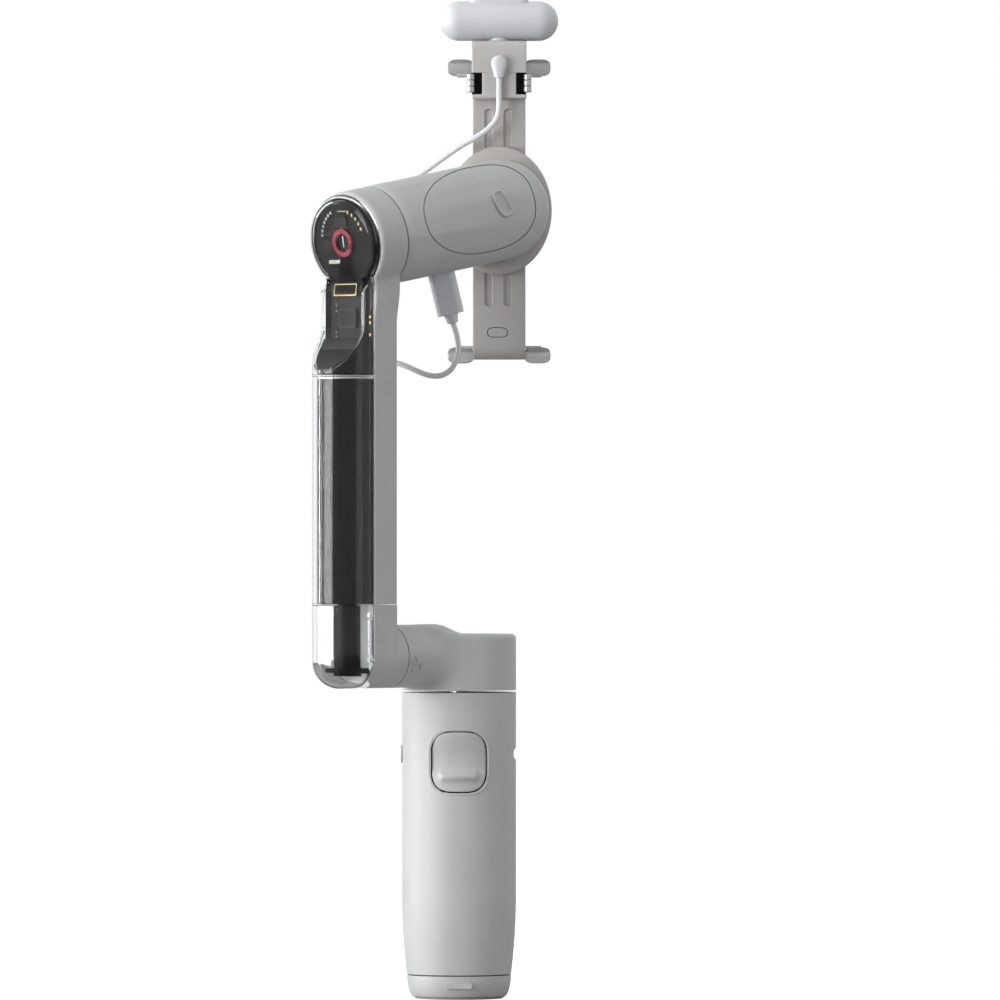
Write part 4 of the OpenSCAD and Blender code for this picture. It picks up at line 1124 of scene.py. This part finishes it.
@dataclass
class ArmInside:
    """What shows through the arm's clear parts: chips, pads, connector and ribbon."""

    board_x: float = -61.6
    board_s: float = SPINE_S - 2.2
    line_deep: float = 0.12

    def block(self, centre: Sequence[float], size: Sequence[float], place: Place) -> bpy.types.Object:
        """A small block with chamfered edges: a superellipse section run up between two drawn-in ends.

        Args:
            centre: its middle, in the frame's millimetres.
            size: its size along each axis.
            place: the frame that it is given in.

        Returns:
            The block.
        """
        outline = superellipse(size[1] / 2, size[2] / 2, 8.0, 24)
        soft, half = min(size) * 0.18, size[0] / 2
        small = 1 - soft / size[1] * 2
        rows = levels(outline, [(small, -half), (1.0, soft - half), (1.0, half - soft), (small, half)], upright=False)
        return skin("block", place(rows[..., [2, 0, 1]] + centre))

    def dots(
        self, name: str, finish: str, places: Sequence[Sequence[float]], size: Sequence[float], place: Place
    ) -> None:
        """A set of like small blocks as one piece."""
        piece = join(name, [self.block(p, size, place) for p in places])
        settle(piece, finish, Rides.UPPER_ARM, "circuit_board")

    def frame(
        self, name: str, finish: str, s: float, t: tuple[float, float], z: tuple[float, float], line: float
    ) -> None:
        """A thin square line drawn round a chip's face, four bars of the line's width."""
        wide, high = t[1] - t[0] + line, z[1] - z[0]
        bars = [self.block((s, sum(t) / 2, at), (self.line_deep, wide, line), arm_place) for at in z]
        bars += [self.block((s, at, sum(z) / 2), (self.line_deep, line, high), arm_place) for at in t]
        settle(join(name, bars), finish, Rides.UPPER_ARM, "circuit_board")

    def ribbon(self) -> None:
        """The ribbed fan of conductors that runs down from the coil: waves across a strip that widens as it falls."""
        u, v = np.meshgrid(np.linspace(0, 1, 24), np.linspace(-1, 1, 97), indexing="ij")
        t = v * (1.3 + 4.4 * u ** 1.3)
        z = -3.2 - 12.6 * u
        x = self.board_x - 0.45 - 0.9 * np.sin(math.pi * u) + 0.12 * np.cos(v * 12 * math.pi)
        piece = skin("ribbon", tilt_place(np.stack([x, t, z], -1)), wrap=False, ends=(False, False), sharp=60)
        thicken(piece, 0.15)
        settle(piece, "chip_case", Rides.UPPER_ARM, "circuit_board")

    def arc(self, start: float, stop: float, count: int, r: float) -> list[tuple[float, float, float]]:
        """Places on a circle round the coil, the angle in degrees from the near side."""
        x = self.board_x - 0.15
        return [(x, r * math.cos(a), 1.0 + r * math.sin(a)) for a in np.radians(np.linspace(start, stop, count))]

    def build(self) -> None:
        """All of it."""
        x = self.board_x - 0.15
        self.dots("board_pads_left", "pale_ceramic", self.arc(8, 62, 7, 8.6), (0.35, 0.4, 0.75), tilt_place)
        self.dots("board_pads_right", "gold_contact", self.arc(112, 160, 5, 8.2), (0.35, 0.45, 0.9), tilt_place)
        row = [(x, 0.9 - 0.62 * k, 9.0) for k in range(6)]
        self.dots("board_row", "pale_ceramic", row, (0.25, 0.25, 0.3), tilt_place)
        chips = [(x - 0.15, -0.2, 5.9), (x - 0.15, 5.9, -0.6)]
        self.dots("board_chips", "chip_case", chips, (0.6, 4.4, 3.1), tilt_place)
        row = [(x - 0.3, 6.2 - 0.95 * k, -5.4) for k in range(6)]
        self.dots("board_connector", "pale_ceramic", row, (0.7, 0.6, 1.0), tilt_place)
        disc = skin("coil_core", lathe([(0.05, -61.4), (2.6, -61.4), (2.6, -61.1), (0.05, -61.1)], tilt_place, "x", 64))
        settle(disc, "black_plastic", Rides.UPPER_ARM, "black_plastic")
        self.dots("coil_sliver", "bright_steel", [(-61.5, 0.5, 0.3)], (0.15, 0.3, 3.4), tilt_place)
        s = self.board_s - 0.85
        self.frame("chip_frame", "gold_contact", s, (-4.9, 4.1), (201.1, 204.2), 0.22)
        self.frame("chip_outline", "dark_line", s, (-4.5, 2.0), (192.2, 197.0), 0.16)
        z = [198.9 - 0.75 * k for k in range(5)] + [190.6 - 0.75 * k for k in range(6)]
        self.dots("board_dots", "pale_ceramic", [(self.board_s - 0.1, 3.9, h) for h in z], (0.2, 0.3, 0.3), arm_place)
        slot = [(-43.0, -7.85, h) for h in (194.8, 193.2, 189.8)]
        self.dots("slot_parts", "gold_contact", slot, (0.6, 0.25, 0.9), arm_place)
        slot = [(-42.6, -7.85, 203.0 - 0.7 * k) for k in range(9)]
        self.dots("slot_ribs", "pale_ceramic", slot, (0.3, 0.2, 0.3), arm_place)
        self.ribbon()


@dataclass
class PanHousing:
    """The housing that turns on the handle, with the boss that the arm folds on, blended into it."""

    radius: float = HANDLE_R
    low: float = HANDLE_H + 0.3
    top: float = 104.5
    edge: float = 1.3
    boss_r: float = 9.0
    boss_s: float = -28.1
    boss_end: float = -5.0
    boss_round: float = 5.5
    blend: float = 4.0
    core_z: float = 97.0
    axle_r: float = 3.05
    mark_at: tuple[float, float] = (-24.9, 96.6)

    def drum(self, p: Points) -> Points:
        """Distance to a drum with a rounded rim: how far outside its drawn-in section, less the rim's radius."""
        low = self.low - 12
        q = np.hypot(p[..., 0], p[..., 1]) - (self.radius - self.edge)
        w = np.abs(p[..., 2] - (self.top + low) / 2) - ((self.top - low) / 2 - self.edge)
        return np.hypot(np.maximum(q, 0), np.maximum(w, 0)) + np.minimum(np.maximum(q, w), 0) - self.edge

    def boss(self, p: Points) -> Points:
        """Distance to the boss: a round bar along the arm's direction with a rounded end."""
        c, s = math.cos(ARM_TURN), math.sin(ARM_TURN)
        along, across = p[..., 0] * c + p[..., 1] * s, -p[..., 0] * s + p[..., 1] * c
        q = np.hypot(across, p[..., 2] - HINGE_Z) - (self.boss_r - self.boss_round)
        w = along - (self.boss_end - self.boss_round)
        return np.hypot(np.maximum(q, 0), np.maximum(w, 0)) + np.minimum(np.maximum(q, w), 0) - self.boss_round

    def both(self, p: Points) -> Points:
        """Smooth union: the lesser distance, less a parabola where the two are near each other."""
        a, b = self.drum(p), self.boss(p)
        h = np.clip(0.5 + 0.5 * (b - a) / self.blend, 0, 1)
        return b + (a - b) * h - self.blend * h * (1 - h)

    def body(self) -> bpy.types.Object:
        """The skin, met by rays from a point inside: each steps on by the distance that is left."""
        middle = np.array([0.0, 0.0, self.core_z])
        polar = np.concatenate([np.linspace(0, 0.6, 70, endpoint=False), np.linspace(0.6, math.pi, 190)])
        turn = np.linspace(0, 2 * math.pi, 300, endpoint=False)
        a, b = np.meshgrid(polar, turn, indexing="ij")
        rays = arm_place(np.stack([-np.cos(a), np.sin(a) * np.cos(b), np.sin(a) * np.sin(b)], -1))
        stop = np.where(np.cos(a) > 0, 40.0 / np.maximum(np.cos(a), 1e-6), 1e3)
        far = np.zeros(a.shape)
        for _ in range(90):
            far = far + 0.9 * self.both(middle + far[..., None] * rays)
        far = np.minimum(far, stop)
        return skin("pan_skin", middle + far[..., None] * rays, ends=(False, False), sharp=45)

    def mark(self) -> bpy.types.Object:
        """A raised open padlock, which says that the hinge is free: an outline tube on the boss's side."""
        a = np.linspace(0, math.pi, 15)
        body = [(-1.5, -2.2), (1.5, -2.2), (1.5, -0.2), (-1.5, -0.2), (-1.5, -2.2)]
        ring = [(-2.3, -0.3), *((-1.35 - 0.95 * math.cos(q), 0.9 + 1.15 * math.sin(q)) for q in a), (-0.4, 0.35)]
        parts = []
        for line in (body, ring):
            p = np.array(line)
            legs = [np.linspace(p[k], p[k + 1], 6, endpoint=False) for k in range(len(p) - 1)]
            step = np.concatenate([*legs, p[-1:]])
            s, z = (step + self.mark_at).T
            t = -np.sqrt(self.boss_r ** 2 - (z - HINGE_Z) ** 2)
            parts.append(skin("mark", tube_rows(arm_place(np.stack([s, t, z], -1)), 0.32, 10)))
        return join("lock_mark", parts)

    def build(self) -> None:
        """Body with its flat ends cut, the hollows for the shafts, and the mark."""
        body = self.body()
        carve(body, self.keep_box(), "INTERSECT")
        for cutter in (
            bore(SHAFT_HOLE_R, 80.0, 92.7, stay, "z", 32),
            bore(self.axle_r, -60.0, -6.0, lambda p: arm_place(p + [0, 0, HINGE_Z]), "x", 48),
        ):
            carve(body, cutter)
        shade(body, 40)
        settle(body, "stone_plastic", Rides.PAN, "stone_plastic", "pan_housing")
        settle(self.mark(), "stone_plastic", Rides.PAN, "stone_plastic")

    def keep_box(self) -> bpy.types.Object:
        """The space that the housing may fill: right of the hinge's seam and above the handle's."""
        corners = np.array([[x, y, z] for x in (self.boss_s, 60.0) for y in (-40.0, 40.0) for z in (self.low, 130.0)])
        faces = [(0, 1, 3, 2), (4, 6, 7, 5), (0, 4, 5, 1), (2, 3, 7, 6), (0, 2, 6, 4), (1, 5, 7, 3)]
        return mesh_object("box", arm_place(corners), faces)


# Handle


@dataclass
class Trigger:
    """The trigger: a soft square key on the handle's front, dished, with a lip near its foot."""

    width: float = 15.45
    height: float = 17.05
    power: float = 3.4
    middle_z: float = 68.02
    dish: float = 0.95
    lip: float = 0.9
    lip_z: float = -4.2
    depth: float = 2.2
    bezel_gap: float = 0.75
    bezel_r: float = 0.42

    def rise(self, u: Points, w: Points) -> Points:
        """Height over the handle: a long shallow dish above, a lip that narrows to its ends, and a drop below it."""
        down = w - self.lip_z
        dish = -self.dish * smooth_step(down / 3.0) * smooth_step((self.height / 2 - w) / 7.5)
        fall = np.exp(-(down / np.where(down > 0, 1.9, 1.2)) ** 2)
        return dish + self.lip * fall * smooth_step((6.3 - np.abs(u)) / 1.8)

    def build(self) -> None:
        """The key, as rings that shrink to its middle, with its rim turned in."""
        outline = superellipse(self.width / 2, self.height / 2, self.power, 160)
        share = np.concatenate([[1.0, 1.0, 1.0, 0.996, 0.985], np.linspace(0.965, 0.0, 60)])
        under = np.concatenate([[self.depth, 0.6, 0.22, 0.08, 0.02], np.zeros(60)])
        u, w = share[:, None] * outline[None, :, 0], share[:, None] * outline[None, :, 1]
        grow = 1 + (self.rise(u, w) * (1 - under[:, None] / self.depth) - under[:, None]) / HANDLE_R
        rows = np.stack([u, -np.sqrt(HANDLE_R ** 2 - u ** 2) * grow, self.middle_z + w], -1)
        key = skin("trigger_key", rows, ends=(True, False))
        settle(key, "stone_plastic", Rides.TRIGGER, "stone_plastic", "trigger")
        ring = superellipse(self.width / 2 + self.bezel_gap, self.height / 2 + self.bezel_gap, self.power, 160)
        route = np.stack([ring[:, 0], -np.sqrt(HANDLE_R ** 2 - ring[:, 0] ** 2) + 0.28, self.middle_z + ring[:, 1]], -1)
        rows = tube_rows(np.concatenate([route, route[:1]]), self.bezel_r, 12)
        bead = skin("trigger_bezel", rows, ends=(False, False))
        settle(bead, "stone_plastic", Rides.HANDLE, "stone_plastic")


@dataclass
class Port:
    """The charging port's mouth: a thin steel rim that lies level with the handle, and the tongue inside."""

    middle_z: float = HANDLE_H - 18.0
    half: tuple[float, float] = (4.55, 1.75)

    def build(self) -> None:
        """Both pieces, on the handle's own curve."""
        rows = []
        for shrink, under in ((0.0, 1.2), (0.0, 0.12), (0.4, 0.12), (0.4, 1.2)):
            ring = superellipse(self.half[0] - shrink, self.half[1] - shrink, 5.0, 96)
            out = np.sqrt((HANDLE_R - under) ** 2 - ring[:, 0] ** 2)
            rows.append(np.stack([out, ring[:, 0], self.middle_z + ring[:, 1]], -1))
        settle(skin("port_rim", np.stack(rows), ends=(False, False)), "bright_steel", Rides.HANDLE, "bright_steel")
        bar = levels(superellipse(3.3, 0.4, 6.0, 48), [(1.0, 13.2), (1.0, 15.5), (0.9, 15.65)], upright=False)
        tongue = skin("port_tongue", bar[..., [2, 0, 1]] + [0, 0, self.middle_z])
        settle(tongue, "black_plastic", Rides.HANDLE, "black_plastic")


@dataclass
class Clamp:
    """The phone clamp: oval disc, two sliding plates bent over at their ends, and their soft claws."""

    disc_half: tuple[float, float] = (15.2, 18.55)
    disc_y: float = 16.41
    disc_t: float = 3.2
    plate_w: float = 15.2
    plate_t: float = 1.0
    upper_y: float = 19.81
    lower_y: float = 21.01
    jaw_z: float = 39.7
    reach_y: float = 35.6
    bend_r: float = 3.0
    plate_low: float = -15.0
    groove_x: tuple[float, float] = (-3.05, 2.45)
    groove_r: float = 1.2
    groove_deep: float = 0.55
    claw: tuple[float, float] = (14.9, 2.35)
    claw_in: float = 7.3

    def disc(self) -> None:
        """The disc: oval rings, the rim rounded towards the front and the face crowned a little."""
        thick = self.disc_t
        steps = [
            (0.62, 2.7), (0.62, thick), (0.95, thick), (1.0, thick - 0.5), (1.0, 1.3), (0.985, 0.75),
            (0.95, 0.35), (0.9, 0.15), (0.84, 0.05), (0.72, 0.0), (0.72, 2.6),
        ]
        rows = levels(superellipse(*self.disc_half, 2.0, 144), steps) + [0, self.disc_y, 0]
        piece = skin("clamp_disc_skin", clamp_place(rows), sharp=28)
        settle(piece, "warm_grey_plastic", Rides.CLAMP, "warm_grey_plastic", "clamp_disc")

    def plate_rows(self, y: float, side: float) -> Points:
        """A flat strip carried along its path: straight, round the bend and back along the phone's edge."""
        turn = np.linspace(0, math.pi / 2, 14)
        end = self.jaw_z + 2.6
        straight = np.stack([np.full(24, y), np.linspace(self.plate_low, end - self.bend_r, 24)], -1)
        bend = np.stack([y + self.bend_r * (1 - np.cos(turn)), end - self.bend_r + self.bend_r * np.sin(turn)], -1)
        back = np.stack([np.linspace(y + self.bend_r + 0.5, self.reach_y, 12), np.full(12, end)], -1)
        return strip_rows(np.concatenate([straight, bend[1:], back]), self.plate_w, self.plate_t) * [1, 1, side]

    def groove(self, x: float, y: float, low: float, high: float) -> bpy.types.Object:
        """A cutter for a long round-ended groove in a plate's front."""
        mid, half = (low + high) / 2, (high - low) / 2
        a = np.linspace(0, 2 * math.pi, 48, endpoint=False)
        c, s, r = np.cos(a), np.sin(a), self.groove_r
        run = (half - r) * np.sign(s) * (np.abs(s) > 1e-6) + r * s
        rows = []
        for share, at in ((1.0, -2.0), (1.0, self.groove_deep * 0.5), (0.8, self.groove_deep)):
            rows.append(np.stack([x + r * c * share, np.full(48, y + at), mid + run * (0.8 + 0.2 * share)], -1))
        return skin("groove", clamp_place(np.stack(rows)))

    def claws(self, name: str, side: float, body: Rides) -> None:
        """Two soft claws that look out from behind the plate: round bars whose ends are drawn in."""
        half, r = self.claw
        parts = []
        for x in (-1, 1):
            middle = [x * (half + self.claw_in) / 2, side * (self.jaw_z + 1.9)]
            rows = []
            for inward, y in ((0.48, 24.6), (0.12, 24.75), (0.0, 25.2), (0.0, 34.8), (0.12, 35.4), (0.48, 35.6)):
                ring = superellipse((half - self.claw_in) / 2 - inward, r - inward, 3.2, 64) + middle
                rows.append(levels(ring, [(1.0, y)])[0])
            parts.append(skin("claw", clamp_place(np.stack(rows))))
        settle(join(name, parts), "claw_gel", body, "liner_rubber")

    def pill(self) -> None:
        """A fine line in the shape of a pill, let into the lower plate, dressed dark as painted shade along the
        outline.
        """
        outline = superellipse(2.85, 1.38, 3.2, 96)
        closed = np.concatenate([outline, outline[:1]])
        route = np.stack([closed[:, 0] - 0.5, np.full(97, self.lower_y + 0.02), closed[:, 1] - 35.1], -1)
        line = skin("plate_pill", tube_rows(clamp_place(route), 0.12, 8), ends=(False, False))
        # Painted shade: dressed near-black, though its slot is the plate's warm grey plastic
        settle(line, "dark_line", Rides.LOWER_JAW, "warm_grey_plastic")

    def build(self) -> None:
        """All of it."""
        self.disc()
        for name, y, side, span, body, node in (
            ("upper_plate", self.upper_y, 1, (17.6, 29.4), Rides.UPPER_JAW, "upper_jaw"),
            ("lower_plate", self.lower_y, -1, (17.4, 27.6), Rides.LOWER_JAW, "lower_jaw"),
        ):
            plate = skin(name, clamp_place(self.plate_rows(y + self.plate_t / 2, side)))
            low, high = sorted(side * z for z in span)
            for x in self.groove_x:
                carve(plate, self.groove(x, y, low, high))
            shade(plate, 30)
            settle(plate, "warm_grey_plastic", body, "warm_grey_plastic", node)
        self.claws("upper_claws", 1, Rides.UPPER_JAW)
        self.claws("lower_claws", -1, Rides.LOWER_JAW)
        self.pill()


@dataclass
class LampGroup:
    """The lamp on the upper jaw: bracket, side clips, capsule, and the bulb that the lead comes out of."""

    plate_y: float = 17.51
    top_z: float = 275.5
    notch_z: float = 266.2
    plate_t: float = 1.2
    bend_r: float = 1.3
    lip_z: float = 259.3
    width: float = 15.8
    tongue: float = 9.8
    clip_x: float = 8.2
    capsule_l: float = 34.2
    capsule_r: float = 5.72
    capsule_y: float = 23.8
    capsule_z: float = 281.3

    def bracket(self) -> None:
        """Plate bent back over the jaw, its narrow tongue, and the rolled lip at its foot."""
        turn = np.linspace(0, math.pi / 2, 10)
        y, r, top = self.plate_y + self.plate_t / 2, self.bend_r, self.top_z - self.plate_t / 2
        front = np.stack([np.full(8, y), np.linspace(self.notch_z, top - r, 8)], -1)
        bend = np.stack([y + r * (1 - np.cos(turn)), top - r + r * np.sin(turn)], -1)
        back = np.stack([np.linspace(y + r + 0.4, y + 8.2, 8), np.full(8, top)], -1)
        tongue = np.stack([np.full(8, y), np.linspace(self.lip_z, self.notch_z + 1, 8)], -1)
        lip = [(0.1, -7.9), (0.55, -7.85), (0.8, -7.5), (0.8, 7.5), (0.55, 7.85), (0.1, 7.9)]
        lip = lathe(lip, stay, "x", 32) * [1, 1, 0.85] + [0, y + 0.1, self.lip_z]
        plate = strip_rows(np.concatenate([front, bend[1:], back]), self.width, self.plate_t)
        parts = [
            skin("plate", plate + [ROLL_X, 0, 0]),
            skin("tongue", strip_rows(tongue, self.tongue, 1.15) + [ROLL_X, 0, 0]),
            skin("lip", lip + [ROLL_X, 0, 0]),
        ]
        settle(join("lamp_bracket_plate", parts), "bracket_grey", Rides.UPPER_JAW, "warm_grey_plastic", "lamp_bracket")

    def clip(self, side: float, body: Rides) -> None:
        """A side clip: a knuckle in three turns on its pin, and a thin arm that hooks behind the plate."""
        z0, z1 = self.lip_z + 1.2, self.notch_z - 0.3
        ring = [(0.05, z0)]
        for k in range(3):
            a, b = z0 + (z1 - z0) * k / 3 + 0.06, z0 + (z1 - z0) * (k + 1) / 3 - 0.06
            ring += [(0.95, a), (1.15, a + 0.15), (1.15, b - 0.15), (0.95, b)]
        ring += [(0.05, z1)]
        knuckle = lathe(ring, stay, "z", 40) + [self.clip_x, self.plate_y + 0.9, 0]
        arm = np.array([(0.75, 0.9), (0.8, 3.6), (0.5, 4.3), (-0.4, 4.5), (-1.6, 4.5)]) + [self.clip_x, self.plate_y]
        section = superellipse(0.28, (z1 - z0) / 2 - 0.1, 8.0, 32)
        xy = arm[:, None] + sideways(arm)[:, None] * section[None, :, :1]
        rows = np.concatenate([xy, np.broadcast_to((z0 + z1) / 2 + section[None, :, 1:], (*xy.shape[:2], 1))], -1)
        flip = np.array([side, 1.0, 1.0])
        parts = [skin("part", shape * flip + [ROLL_X, 0, 0]) for shape in (knuckle, rows)]
        settle(join(f"{body.value}_piece", parts), "warm_grey_metal", body, "bright_steel", body.value)

    def pins(self) -> None:
        """The clips' pins, dressed dark as painted shade in the knuckles' gaps, and thin dark sheets behind the
        bracket's slots as painted shade in them.
        """
        pin = lathe([(0.1, -1.6), (0.34, -1.5), (0.34, 1.5), (0.1, 1.6)], stay, "x", 20)
        parts = []
        for side in (-1, 1):
            for up in (1.7, 4.6):
                at = [ROLL_X + side * (self.clip_x - 2.0), self.plate_y + 0.9, self.lip_z + up]
                parts.append(skin("pin", pin + at))
        # Painted shade: the pins are dressed near-black, though their slot is warm grey, for the shade in the knuckles'
        # gaps
        settle(join("clip_pins", parts), "chip_case", Rides.UPPER_JAW, "warm_grey_plastic")
        # Painted shade: two thin near-black sheets behind the bracket's slots beside the tongue, where only shade shows
        back = levels(superellipse(1.5, 3.4, 9.0, 40), [(1.0, 1.3), (1.0, 1.5)])
        shades = []
        for side in (-1, 1):
            at = [ROLL_X + side * 6.35, self.plate_y, (self.lip_z + self.notch_z) / 2 + 0.2]
            shades.append(skin("shade", back + at))
        settle(join("clip_slot_shade", shades), "chip_case", Rides.UPPER_JAW, "warm_grey_plastic")

    def capsule(self) -> None:
        """The capsule: a bar with half-round ends; its pad above, its neck below and its milky window behind."""
        turn = np.linspace(-math.pi / 2, math.pi / 2, 49)
        reach = self.capsule_l / 2 - self.capsule_r
        ends = np.where(turn < 0, -reach, reach)
        profile = np.stack([self.capsule_r * np.cos(turn), ends + self.capsule_r * np.sin(turn)], -1)
        middle = np.array([ROLL_X, self.capsule_y, self.capsule_z])
        body = skin("lamp_capsule", lathe(profile, stay, "x", 96) + middle)
        hole = superellipse(11.3, 3.2, 8.0, 96)
        carve(body, skin("hole", levels(hole, [(1.0, 4.6), (1.0, 8.0)]) + middle))
        pane = levels(hole, [(0.985, 4.6), (0.985, 5.0), (0.96, 5.15), (0.5, 5.2)]) + middle
        pad = superellipse(8.4, 3.0, 5.0, 96)
        crown = levels(pad, [(1.0, 4.4), (1.0, 6.2), (0.96, 6.45), (0.6, 6.5)], upright=False) + middle
        neck = lathe([(3.1, -self.capsule_r - 0.25), (3.1, -3.0)], stay, "z", 64) + middle
        shade(body, 40)
        whole = join("lamp_capsule", [body, skin("pad", crown), skin("neck", neck)])
        settle(whole, "white_plastic", Rides.UPPER_JAW, "white_plastic", "lamp_body")
        settle(skin("lamp_pane", pane), "lamp_diffuser", Rides.UPPER_JAW, "lamp_diffuser", "lamp_window")

    def relief(self) -> None:
        """The bulb: level oval rings that swell and then taper down to the lead."""
        ring = np.array([
            (271.1, 0.3), (270.95, 1.0), (270.55, 1.65), (269.9, 2.1), (269.1, 2.3), (268.2, 2.25),
            (267.2, 1.98), (266.3, 1.7), (265.4, 1.55), (264.95, 1.5), (264.75, 1.35), (264.7, 0.8),
        ])
        a = np.linspace(0, 2 * math.pi, 64, endpoint=False)
        deep = np.minimum(ring[:, 1:], 1.2)
        rows = np.stack([ROLL_X + ring[:, 1:] * np.cos(a), 16.36 + deep * np.sin(a), ring[:, :1] + 0 * a], -1)
        settle(skin("lead_bulb", rows, sharp=60), "white_plastic", Rides.UPPER_JAW, "white_plastic", "lead_relief")

    def build(self) -> None:
        """All of it."""
        self.bracket()
        self.clip(-1.0, Rides.LEFT_CLIP)
        self.clip(1.0, Rides.RIGHT_CLIP)
        self.pins()
        self.capsule()
        self.relief()


# Scene order


def dress_nodes() -> None:
    """Gives every CAD node the finish of its slot in the record."""
    slots = {part["node"]: part["material_slot"] for part in frame["record"]["subparts"]}
    for name, node in frame["nodes"].items():
        WARDROBE.dress(node, slots[name])


def main() -> None:
    """Builds the scene piece by piece."""
    logging.basicConfig(level=logging.INFO, format="%(message)s")
    Studio().build()
    Lead().build()
    dress_nodes()
    for group in (RollArm, ArmSpine, ClearParts, ArmInside, PanHousing, Trigger, Clamp, LampGroup, Port):
        group().build()


if __name__ == "__main__":
    main()
